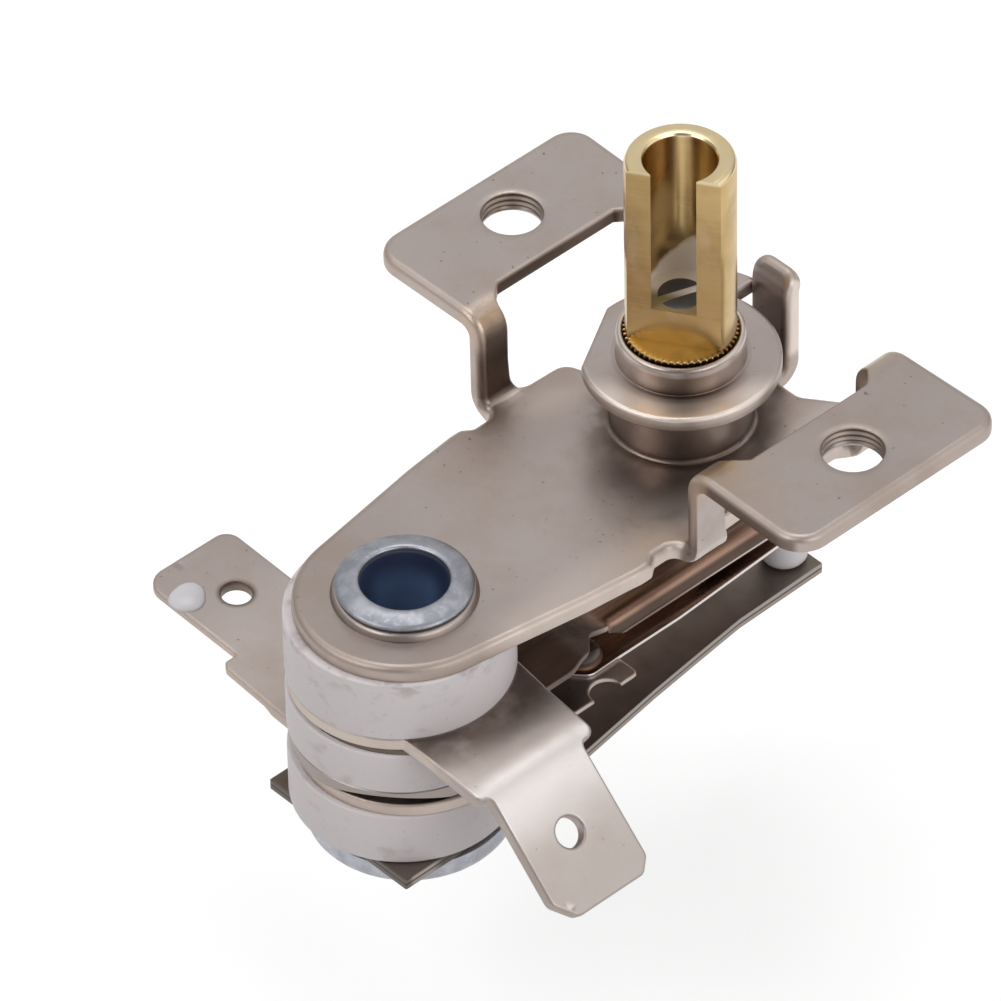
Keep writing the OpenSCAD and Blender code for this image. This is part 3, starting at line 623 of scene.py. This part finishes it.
def paint_dot_piece():
    """Low dome of set paint on the left tab: height falls with the square of the radius."""
    cx, cy = -22.95, 15.85
    r = np.linspace(0, 1.12, 12)
    top = np.c_[r, 0.34 * (1 - (r / 1.12) ** 2) ** 0.7]

    def lean(x, y, z):
        a = np.arctan2(y - cy, x - cx)
        k = 1 + 0.07 * np.sin(2 * a + 0.6) + 0.05 * np.sin(3 * a)
        x, y = cx + (x - cx) * k, cy + (y - cy) * k
        return x, y, z + Z_TAB2 + (y - 6.6) * math.tan(math.radians(2.6))

    return Form().revolve(np.r_[top[::-1], [[0, -0.1], [1.05, -0.1]]], (cx, cy), 48, warp=lean).mesh("paint_dot")


class Wire:
    """A socket in a material's nodes: arithmetic on wires adds the Math nodes that work it out."""

    def __init__(self, tree, socket=None):
        self.tree, self.socket = tree, socket

    def node(self, kind, settings=None, inputs=None, out=0):
        """One node with its settings and its inputs (values or wires), given back as the wire of one output."""
        made = self.tree.nodes.new("ShaderNode" + kind)
        for key, value in (settings or {}).items():
            setattr(made, key, value)
        for key, value in (inputs or {}).items():
            if isinstance(value, Wire):
                self.tree.links.new(value.socket, made.inputs[key])
            else:
                made.inputs[key].default_value = value
        return Wire(self.tree, made.outputs[out])

    def sum_of(self, operation, a, b=0.0):
        return self.node("Math", {"operation": operation}, {0: a, 1: b})

    def __add__(self, other):
        return self.sum_of("ADD", self, other)

    def __mul__(self, other):
        return self.sum_of("MULTIPLY", self, other)

    def __sub__(self, other):
        return self.sum_of("SUBTRACT", self, other)

    def __rsub__(self, other):
        return self.sum_of("SUBTRACT", other, self)

    __radd__, __rmul__ = __add__, __mul__

    def root(self):
        return self.sum_of("SQRT", self)

    def size(self):
        return self.sum_of("ABSOLUTE", self)

    def step(self, low, high, to_low=0.0, to_high=1.0):
        """Smooth step between two values."""
        return self.node("MapRange", {"interpolation_type": "SMOOTHSTEP"}, {
            "Value": self, "From Min": low, "From Max": high, "To Min": to_low, "To Max": to_high})

    def blend(self, a, b):
        """Colour a where this wire is 0 and colour b where it is 1."""
        return self.node("Mix", {"data_type": "RGBA"}, {
            "Factor": self, 6: a if isinstance(a, Wire) else (*a, 1), 7: b if isinstance(b, Wire) else (*b, 1)}, 2)


class Finish:
    """A material with its place in millimetres at hand: x, y, z, the distance from the shaft's axis and noise."""

    def __init__(self, name, roughness, metallic=1.0, **constants):
        self.material = bpy.data.materials.new(name)
        self.material.use_nodes = True
        self.tree = self.material.node_tree
        self.shader = self.tree.nodes["Principled BSDF"]
        for key, value in {"Roughness": roughness, "Metallic": metallic, **constants}.items():
            self.shader.inputs[key.replace("_", " ")].default_value = value
        self.start = Wire(self.tree)
        place = self.start.node("TexCoord", out=3)
        self.place = self.start.node("VectorMath", {"operation": "SCALE"}, {0: place, "Scale": 1000.0})
        self.x, self.y, self.z = (self.start.node("SeparateXYZ", {}, {0: self.place}, k) for k in range(3))

    def noise(self, scale, stretch=(1, 1, 1), detail=3.0, shift=0.0):
        """Noise with about so many waves a millimetre, drawn out along some axes."""
        at = self.start.node("Mapping", {}, {
            "Vector": self.place, "Location": (shift, shift * 0.7, shift * 1.3), "Scale": stretch})
        return self.start.node("TexNoise", {}, {"Vector": at, "Scale": scale, "Detail": detail})

    def mark(self):
        """1 on cut edges of a sheet and 0 on its faces."""
        return self.start.node("Attribute", {"attribute_name": "edge_mark"}, out=2)

    def reach(self, cx, cy):
        """Distance from a vertical axis."""
        dx, dy = self.x - cx, self.y - cy
        return (dx * dx + dy * dy).root()

    def done(self, colour=None, rough=None, bump=None, strength=0.2, distance=0.02):
        """Joins colour, roughness and relief to the shader."""
        if colour is not None:
            self.tree.links.new(colour.socket, self.shader.inputs["Base Color"])
        if rough is not None:
            self.tree.links.new(rough.socket, self.shader.inputs["Roughness"])
        if bump is not None:
            relief = self.start.node("Bump", {}, {"Height": bump, "Strength": strength, "Distance": distance * MM})
            self.tree.links.new(relief.socket, self.shader.inputs["Normal"])
        return self.material


def plated_steel(name, face, smudge, edge, roughness=0.36):
    """Satin plating with soft clouds, fine grain, a few pits and a tint of its own on cut edges."""
    f = Finish(name, roughness)
    f.clouds = f.noise(0.35, detail=5.0).step(0.38, 0.68)
    f.grain = f.noise(9.0, detail=2.0, shift=3.0)
    pits = f.noise(2.6, detail=1.0, shift=9.0).step(0.74, 0.80)
    wide = f.noise(0.11, detail=2.0, shift=1.0).step(0.35, 0.65)
    f.colour = (f.clouds * 0.45 + wide * 0.3).blend(face, smudge)
    f.colour = (pits * 0.6).blend(f.colour, (0.14, 0.10, 0.08))
    f.colour = (f.mark() * 0.5).blend(f.colour, edge)
    return f


def satin(f, roughness):
    """Joins a plated finish to its shader, with roughness and relief from its clouds and grain."""
    rough = f.clouds * 0.1 + f.grain * 0.12 + f.mark() * 0.12 + (roughness - 0.1)
    return f.done(f.colour, rough, f.grain + f.noise(2.0, detail=4.0) * 1.5, 0.12, 0.03)


def frame_plate():
    """Plating of the frame, the left tab and the stop disc. Brown is painted shade on the neck, the collar's front
    and foot, the flange's rim, the plate round the neck, the legs, the ears' inner edges and threads, the right
    ear's front edge, the stop tab's front face and the left tab's hole; it is also brown stains towards the round
    end and darker patches over the right ear and the left tab's end. Pale is painted highlight on the plate beside
    the neck, the stop tab's side, the stop disc's front and the collar's back, with a lighter patch near the round
    end, and tan is painted highlight on the legs' bends."""
    f = plated_steel("nickel_plate", (0.47, 0.41, 0.385), (0.37, 0.305, 0.27), (0.52, 0.43, 0.37))
    brown = (0.13, 0.09, 0.068)
    out, side, flank = f.reach(0, 0), f.y.size(), f.x.size()
    front = (f.x * -0.67 - f.y * 0.74).step(1.6, 3.9)
    plate = f.z.step(-5.6, -5.9) * f.z.step(-7.3, -7.2)
    # Painted shade, laid on in brown below: the neck, the collar's front, the crease at the collar's foot, the
    # flange's rim, the plate round the neck's foot, the legs, the ears' inner edges, the right ear's front edge,
    # the ear threads, the stop tab's front face and the inside of the left tab's hole.
    neck = out.step(4.8, 4.3) * f.z.step(-2.3, -2.7)
    collar = out.step(4.1, 3.7) * f.z.step(-1.5, -1.3)
    crease = out.step(4.0, 3.8) * f.z.step(-1.2, -1.33) * f.z.step(-1.6, -1.5)
    rim = out.step(5.1, 5.3) * out.step(6.4, 6.2) * f.z.step(-1.75, -2.1) * f.z.step(-2.8, -2.6)
    foot = out.step(4.2, 6.6, 1.0, 0.0) * f.noise(0.6, shift=8.0).step(0.25, 0.65) * plate
    leg = side.step(8.75, 8.4) * side.step(7.5, 8.0) * flank.step(4.7, 4.8) * flank.step(8.4, 8.2)
    leg = leg * f.z.step(-1.0, -3.4) * f.z.step(-6.6, -6.2)
    inner = side.step(10.5, 10.2) * flank.step(4.8, 4.5) * f.z.step(-1.5, -1.2) * f.z.step(-0.1, -0.3)
    shade = f.y.step(-9.0, -10.0) * f.x.step(-7.0, -7.3) * f.z.step(-0.1, -0.4) * f.z.step(-2.5, -1.5)
    hole = f.x.sum_of("MINIMUM", f.reach(0.12, 13.77), f.reach(0.12, -13.41))
    thread = hole.step(1.82, 1.9) * hole.step(2.1, 2.03) * f.z.step(-0.1, -0.14) * f.z.step(-1.5, -1.2)
    stop = f.x.step(6.3, 6.4) * f.x.step(7.0, 6.85) * side.step(1.5, 1.4)
    stop = stop * f.z.step(-0.9, -1.8) * f.z.step(-5.6, -4.6)
    latch = f.reach(STACK_X + 0.15, 14.33).step(1.3, 0.92)
    # Not painted light: tip is brown stains towards the round end, and right_ear and left_end are darker patches.
    tip = f.x.step(-10.0, -22.0) * plate
    right_ear, left_end = f.y.step(-9.0, -10.0), f.y.step(11.0, 16.5) * f.x.step(-12.0, -14.0)
    for mask, share in (
            (neck * (front * 0.4 + 0.36), 1.0), (collar * front, 0.45), (crease * (front * 0.7 + 0.3), 0.85),
            (rim, 0.35), (leg, 0.85), (foot, 0.6), (inner, 0.85), (shade, 0.75), (thread, 0.95), (stop, 0.35),
            (latch, 0.75), (tip, 0.2), (right_ear, 0.14), (left_end, 0.2)):
        f.colour = (mask * share).blend(f.colour, brown)
    # Painted highlights, laid on in pale below: the plate beside the neck, the stop tab's side, the stop disc's
    # front and the collar's back; band is a lighter patch near the round end.
    lobe = f.y.step(3.5, 6.5) * f.x.step(-9.0, -5.0) * plate
    flat_side = f.x.step(6.2, 6.4) * f.x.step(8.4, 8.2) * f.y.step(-1.25, -1.42)
    flat_side = flat_side * f.y.step(-2.4, -2.2) * f.z.step(-5.4, -4.6)
    band = f.y.step(-4.0, -6.5) * f.x.step(-21.0, -18.0) * plate
    disc = out.step(3.95, 4.5) * out.step(5.8, 5.6) * f.z.step(-1.7, -1.6) * front
    # Painted highlight in tan on the legs' top bends.
    bend = side.step(10.2, 9.6) * side.step(7.8, 8.4) * flank.step(4.9, 5.0) * flank.step(8.4, 8.2)
    bend = bend * f.z.step(-2.6, -1.3) * f.z.step(0.1, -0.15)
    f.colour = (bend * 0.5).blend(f.colour, (0.55, 0.42, 0.31))
    for mask, share in (
            (lobe, 0.45), (flat_side, 0.9), (band, 0.3), (disc, 0.95), (collar * (1 - front), 0.6)):
        f.colour = (mask * share).blend(f.colour, (0.78, 0.69, 0.63))
    return satin(f, 0.36)


def tab_plate():
    """Paler plating of the right tab and the clamp ring: painted shadow of the stack in brown near it, painted
    shade on the ring's outer wall, and a painted highlight past the tab's bend that fades towards the tab's tip.
    """
    f = plated_steel("pale_nickel_plate", (0.52, 0.465, 0.44), (0.45, 0.39, 0.355), (0.33, 0.27, 0.235), 0.4)
    out = f.reach(*RING_CENTRE)
    # Painted shadow of the stack, in brown round it on the faces.
    near = out.step(6.33, 6.5) * out.step(6.5, 10.3, 1.0, 0.0) * f.noise(0.5, shift=8.0).step(0.1, 0.55)
    near = near * (1 - f.mark())
    f.colour = (near * 0.9).blend(f.colour, (0.15, 0.11, 0.088))
    f.colour = (f.mark() * out.step(10.0, 7.5) * 0.6).blend(f.colour, (0.60, 0.52, 0.46))
    # Painted shade on the clamp ring's outer wall, between the middle ceramic ring and the left tab.
    ring = out.step(5.8, 6.1) * out.step(6.5, 6.4) * f.z.step(-15.0, -15.2)
    f.colour = (ring * 0.75).blend(f.colour, (0.24, 0.205, 0.19))
    # Painted highlight just past the tab's bend.
    bright = f.y.step(-14.5, -10.8) * f.y.step(-9.2, -10.6) * (1 - f.mark())
    f.colour = (bright * 0.8).blend(f.colour, (0.78, 0.74, 0.72))
    # Darker towards the tab's tip, where the painted highlight fades.
    f.colour = (f.y.step(-11.5, -16.0) * 0.55).blend(f.colour, (0.37, 0.325, 0.30))
    return satin(f, 0.4)


def fired_ceramic(name, white, dark, soil_and_shade=0.7):
    """Unglazed ceramic with a few patches of dirt and specks, and painted shade in patches on the top ring's upper
    part, beneath the plate.
    """
    f = Finish(name, 0.55, 0.0, Specular_IOR_Level=0.35)
    patches = f.noise(0.5, (1, 1, 1.6), 6.0, 2.0).step(0.56, 0.74)
    specks = f.noise(3.5, detail=2.0, shift=5.0).step(0.66, 0.74)
    # Painted shade from the plate, in patches on the top ring's upper part.
    under = f.noise(0.8, (1, 1, 2), 4.0, 6.0).step(0.48, 0.66) * f.z.step(-8.6, -7.5)
    colour = (patches * (soil_and_shade * 0.7) + specks * (soil_and_shade * 0.5) + under * soil_and_shade).blend(white, dark)
    return f.done(colour, None, f.noise(6.0), 0.15, 0.03)


def turned_brass():
    """Brass with fine rings from the lathe and mottled patches, a painted highlight on the stem's top, painted
    shade in the knurl's grooves and a pale film low in the bore."""
    f = Finish("turned_brass", 0.22)
    rings = f.noise(1.0, (0.06, 0.06, 12.0), 2.0)
    patches = f.noise(0.45, detail=4.0, shift=4.0).step(0.4, 0.7)
    pale = f.noise(0.55, (1, 1, 0.5), 4.0, 7.0).step(0.52, 0.72)
    out = f.reach(0, 0)
    colour = (patches * 0.6).blend((0.575, 0.405, 0.185), (0.395, 0.272, 0.11))
    colour = (pale * 0.45).blend(colour, (0.66, 0.53, 0.37))
    colour = (rings.step(0.5, 0.7) * 0.3).blend(colour, (0.70, 0.54, 0.30))
    # Painted highlight on the stem's top face.
    colour = (f.z.step(12.3, 12.5) * 0.7).blend(colour, (0.86, 0.72, 0.46))
    colour = (f.z.step(0.9, 0.2) * 0.6).blend(colour, (0.36, 0.245, 0.085))
    # Painted shade in the knurl's grooves.
    gap = out.step(3.2, 3.13) * out.step(2.98, 3.05) * f.z.step(0.49, 0.42)
    colour = (gap * 0.75).blend(colour, (0.09, 0.05, 0.025))
    ahead = f.x * math.cos(FLAT_TURN) + f.y * math.sin(FLAT_TURN)
    level = f.z - f.x * 0.61 + f.y * 0.56 + f.noise(0.8) * 0.8
    film = out.step(2.25, 2.1) * ahead.step(1.58, 1.5) * level.step(5.3, 4.7) * f.z.step(2.6, 2.75)
    sill = f.z.step(3.0, 2.9) * ahead.step(-0.4, 0.6)
    colour = film.blend(colour, sill.blend((0.86, 0.80, 0.73), (0.27, 0.205, 0.10)))
    f.tree.links.new((1 - film).socket, f.shader.inputs["Metallic"])
    return f.done(colour, rings * 0.1 + film * 0.3 + 0.18, rings, 0.1, 0.02)


def zinc_plate():
    """Mottled zinc plating, blue down the bore, with painted shade at the bore's mouth and sides and painted light
    making the bore's far wall paler deeper down.
    """
    f = Finish("zinc_plate", 0.42)
    bore = f.reach(STACK_X, 0).step(2.6, 2.5) * f.z.step(-5.2, -5.55)
    clouds = f.noise(1.1, detail=5.0).step(0.35, 0.65)
    specks = f.noise(4.0, detail=2.0, shift=2.0).step(0.62, 0.72)
    colour = (clouds * 0.8).blend((0.385, 0.39, 0.43), (0.262, 0.272, 0.307))
    colour = (specks * 0.35 + f.z.step(-15.0, -18.0) * 0.2).blend(colour, (0.60, 0.60, 0.63))
    across = ((f.x - STACK_X) * 0.74 - f.y * 0.67).size()
    # Painted shade at the bore's mouth and sides, and painted light on the bore's far wall, paler deeper down.
    deep = f.z.step(-6.0, -8.2) * across.step(2.4, 1.2)
    deep = deep.blend((0.035, 0.05, 0.105), f.z.step(-7.8, -9.8).blend((0.15, 0.235, 0.42), (0.26, 0.38, 0.62)))
    colour = bore.blend(colour, deep)
    f.tree.links.new((1 - bore * 0.75).socket, f.shader.inputs["Metallic"])
    return f.done(colour, clouds * 0.12 + 0.36, f.noise(4.0), 0.18, 0.03)


def spring_copper():
    """Tarnished copper alloy, with painted shade on the turned-down sides and near the stack, and painted
    highlights on the sides' lower lip and on the cut edges.
    """
    f = Finish("spring_copper", 0.33)
    clouds = f.noise(0.3, (0.6, 1.4, 1.4), 5.0).step(0.35, 0.7)
    streaks = f.noise(1.0, (0.06, 6.0, 6.0), 2.0, 4.0)
    colour = clouds.blend((0.34, 0.215, 0.16), (0.16, 0.095, 0.068))
    colour = (streaks.step(0.5, 0.7) * 0.25).blend(colour, (0.46, 0.33, 0.27))
    colour = (streaks.step(0.46, 0.3) * 0.25).blend(colour, (0.10, 0.06, 0.045))
    # Painted shade on the arm's turned-down sides.
    side = f.z.step(-14.4, -14.62) * f.z.step(-15.8, -15.7) * f.y.size().step(3.0, 3.2)
    colour = (side * 0.9).blend(colour, (0.075, 0.052, 0.042))
    # Painted highlight along the lower lip of the turned-down sides.
    lip = f.z.step(-15.2, -15.3) * f.z.step(-15.75, -15.6) * f.y.size().step(3.0, 3.2)
    colour = (lip * 0.8).blend(colour, (0.74, 0.66, 0.61))
    # Painted highlight on the cut edges, strongest low down.
    colour = (f.mark() * f.z.step(-15.6, -15.8, 0.35, 0.85)).blend(colour, (0.78, 0.73, 0.70))
    # Painted shadow of the stack on the arm's root.
    root = f.x.step(-8.0, -10.8) * f.z.step(-15.95, -15.8)
    colour = (root * 0.7).blend(colour, (0.05, 0.033, 0.025))
    return f.done(colour, clouds * 0.15 + root * 0.3 + 0.26, f.noise(3.0, (0.2, 3, 3)), 0.1, 0.02)


def rolled_bimetal():
    """Dark rolled strip: brushed along its length, paler below, with two layers and a dark seam on its cut edge,
    and painted shade on that edge along the stack.
    """
    f = Finish("rolled_bimetal", 0.42)
    brush = f.noise(1.0, (0.12, 7.0, 7.0), 3.0)
    clouds = f.noise(0.3, detail=5.0, shift=6.0).step(0.35, 0.7)
    past = f.x + 14.4
    height = f.z + 20.85 + past.sum_of("MAXIMUM", past, 0.0) * 0.0297
    colour = (clouds * 0.7).blend((0.23, 0.19, 0.165), (0.14, 0.11, 0.095))
    colour = (height.step(-0.28, -0.34) * 0.8).blend(colour, (0.33, 0.295, 0.265))
    layer = height.step(0.08, 0.04).blend((0.36, 0.325, 0.295), (0.31, 0.265, 0.235))
    seam = (height - 0.06).size().step(0.09, 0.03)
    layer = seam.blend(layer, (0.06, 0.045, 0.035))
    # Painted shade on the cut edge where it lies between the lowest ring and the rivet's head, and at the strip's
    # back end.
    dark = f.x.step(-24.4, -23.4) * f.x.step(-14.2, -15.4) + f.x.step(-25.6, -26.0) * 0.8
    layer = (dark * 0.85).blend(layer, (0.035, 0.028, 0.023))
    colour = (f.mark() * 0.9).blend(colour, layer)
    return f.done(colour, brush * 0.15 + 0.33, brush, 0.12, 0.02)


def plain_finish(name, colour, roughness, metallic=1.0):
    """One even colour."""
    f = Finish(name, roughness, metallic)
    f.shader.inputs["Base Color"].default_value = (*colour, 1)
    return f.material


def slotted_steel():
    """Dark steel, bright where the slot was cut."""
    f = Finish("slotted_steel", 0.35, 0.5)
    return f.done(f.z.step(2.78, 2.7).blend((0.09, 0.09, 0.10), (0.80, 0.78, 0.74)))


def dress(piece, material, node, body, other=None):
    """Gives a piece its material and its place in the assembly."""
    piece.data.materials.append(material)
    if node:
        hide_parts(node)
    if other:
        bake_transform(piece)
    else:
        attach(piece, body)


nickel, pale_nickel = frame_plate(), tab_plate()
ceramic = fired_ceramic("fired_ceramic", (0.66, 0.61, 0.615), (0.34, 0.29, 0.28), 0.5)
clean_ceramic = fired_ceramic("bead_ceramic", (0.70, 0.67, 0.69), (0.55, 0.50, 0.50), 0.3)
brass, zinc, copper, bimetal = turned_brass(), zinc_plate(), spring_copper(), rolled_bimetal()
silver = plain_finish("contact_silver", (0.72, 0.70, 0.67), 0.3)
dark_steel = slotted_steel()
white_paint = plain_finish("white_paint", (0.60, 0.58, 0.61), 0.2, 0.0)

dress(frame_piece(), nickel, "mounting_frame", "frame")
dress(rivet_piece(), zinc, "tubular_rivet", "frame")
for ring_name, ring_node, low, top, spigot in (
        ("top_ring", "upper_ceramic_ring", Z_TAB1, PLATE_LOW, 1.15),
        ("mid_ring", "middle_ceramic_ring", Z_WASHER, Z_RING2, 1.75),
        ("low_ring", "lower_ceramic_ring", Z_BIMETAL, Z_RING3, 0)):
    dress(ring_piece(ring_name, low, top, spigot), ceramic, ring_node, "frame")
dress(right_tab_piece(), pale_nickel, "right_terminal", "frame")
dress(left_tab_piece(), nickel, "left_terminal", "frame")
dress(washer_piece(), pale_nickel, "clamp_washer", "frame")
dress(paint_dot_piece(), white_paint, None, "frame")
dress(upper_blade_piece(), copper, "upper_contact_blade", "frame",
      ("upper_arm", (-13.05 * MM, 0, 0), (1.5 * MM, 0, 0)))
dress(lower_blade_piece(), copper, "lower_contact_blade", "frame",
      ("lower_arm", (-8.65 * MM, 0, 0), (1.5 * MM, 0, 0)))
dress(strip_piece(), bimetal, "bimetal_strip", "frame",
      ("bimetal", (BEND_X * MM, 0, 0), (5.8 * MM, 0, 0)))
dress(blade_rivet_piece(), copper, "blade_rivets", "frame")
dress(contact_piece("upper_button", -15.28, -14.5), silver, "upper_contact", "upper_arm")
dress(contact_piece("lower_button", -16.0, -15.32), silver, "lower_contact", "lower_arm")
dress(bead_piece(), clean_ceramic, "ceramic_bead", "bimetal")
dress(pin_piece(), clean_ceramic, "push_pin", "pin")
dress(shaft_piece(), brass, "brass_shaft", "shaft")
dress(stop_plate_piece(), nickel, "stop_plate", "shaft")
dress(screw_piece(), dark_steel, "setting_screw", "shaft")


def stand_camera():
    """Camera at the photograph's angle: 42.2 degrees round, 42.4 up, rolled by 1.1."""
    a, e, r = (math.radians(k) for k in (42.187, 42.371, -1.106))
    away = Vector((math.sin(a), math.cos(a), 0))
    side = Vector((math.cos(a), -math.sin(a), 0))
    up = math.sin(e) * away + math.cos(e) * Vector((0, 0, 1))
    back = -math.cos(e) * away + math.sin(e) * Vector((0, 0, 1))
    side, up = math.cos(r) * side + math.sin(r) * up, math.cos(r) * up - math.sin(r) * side
    data = bpy.data.cameras.new("photo_camera")
    data.lens, data.sensor_width = 398.4, 36.0
    data.clip_start, data.clip_end = 0.01, 20.0
    camera = bpy.data.objects.new("photo_camera", data)
    turn = Matrix((side, up, back)).transposed().to_4x4()
    camera.matrix_world = Matrix.Translation(Vector((-0.3140, -0.3314, 0.4041))) @ turn
    bpy.context.scene.collection.objects.link(camera)
    bpy.context.scene.camera = camera


def stand_floor(level):
    """White floor that the camera and metal see as white, with the object's soft shadow on it."""
    data = bpy.data.meshes.new("studio_floor")
    data.from_pydata([(-3, -3, level), (3, -3, level), (3, 3, level), (-3, 3, level)], [], [(0, 1, 2, 3)])
    floor = bpy.data.objects.new("studio_floor", data)
    bpy.context.scene.collection.objects.link(floor)
    f = Finish("studio_white", 0.9, 0.0)
    f.shader.inputs["Base Color"].default_value = (0.5, 0.5, 0.5, 1)
    rays = f.start.node("LightPath").socket.node.outputs
    seen, glossy, through = (Wire(f.tree, rays["Is %s Ray" % k]) for k in ("Camera", "Glossy", "Transmission"))
    glow = f.start.node("Emission", {}, {"Color": (1, 1, 1, 1), "Strength": (seen + glossy + through) * 0.55})
    both = f.start.node("AddShader", {}, {0: Wire(f.tree, f.shader.outputs[0]), 1: glow})
    f.tree.links.new(both.socket, f.tree.nodes["Material Output"].inputs["Surface"])
    floor.data.materials.append(f.material)


def studio_world(level, boxes):
    """Soft surround: an even grey with soft bright fields, each written as its direction, the angles from it
    where the field ends and where it is full, and its strength."""
    world = bpy.data.worlds.new("studio")
    bpy.context.scene.world = world
    world.use_nodes = True
    tree = world.node_tree
    start = Wire(tree)
    way = start.node("TexCoord", out=0)
    grey = level
    for direction, wide, narrow, strength in boxes:
        facing = start.node("VectorMath", {"operation": "DOT_PRODUCT"}, {0: way, 1: direction}, 1)
        grey = grey + facing.step(math.cos(math.radians(wide)), math.cos(math.radians(narrow))) * strength
    sky = tree.nodes["Background"]
    sky.inputs["Color"].default_value = (1, 1, 1, 1)
    tree.links.new(grey.socket, sky.inputs["Strength"])


def lamp(name, place, size, power, target=(-4, 0, -8)):
    """Square soft lamp at a place in millimetres, turned to the object."""
    data = bpy.data.lights.new(name, "AREA")
    data.shape, data.size, data.energy = "SQUARE", size * MM, power
    stand = bpy.data.objects.new(name, data)
    at = Vector(place) * MM
    turn = (at - Vector(target) * MM).to_track_quat("Z", "Y").to_matrix().to_4x4()
    stand.matrix_world = Matrix.Translation(at) @ turn
    bpy.context.scene.collection.objects.link(stand)


bpy.context.scene.view_settings.view_transform = "Standard"
stand_camera()
stand_floor(-0.036)
studio_world(0.25, [((0.50, 0.55, 0.67), 65, 20, 0.49), ((0.50, -0.67, 0.55), 45, 12, 0.9),
                    ((-0.46, 0.55, 0.70), 34, 10, 0.5)])
lamp("left_lamp", (-520, 60, 480), 420, 1.6)
lamp("front_lamp", (-60, -640, 330), 420, 1.3)
lamp("top_lamp", (120, 160, 700), 420, 1.0)
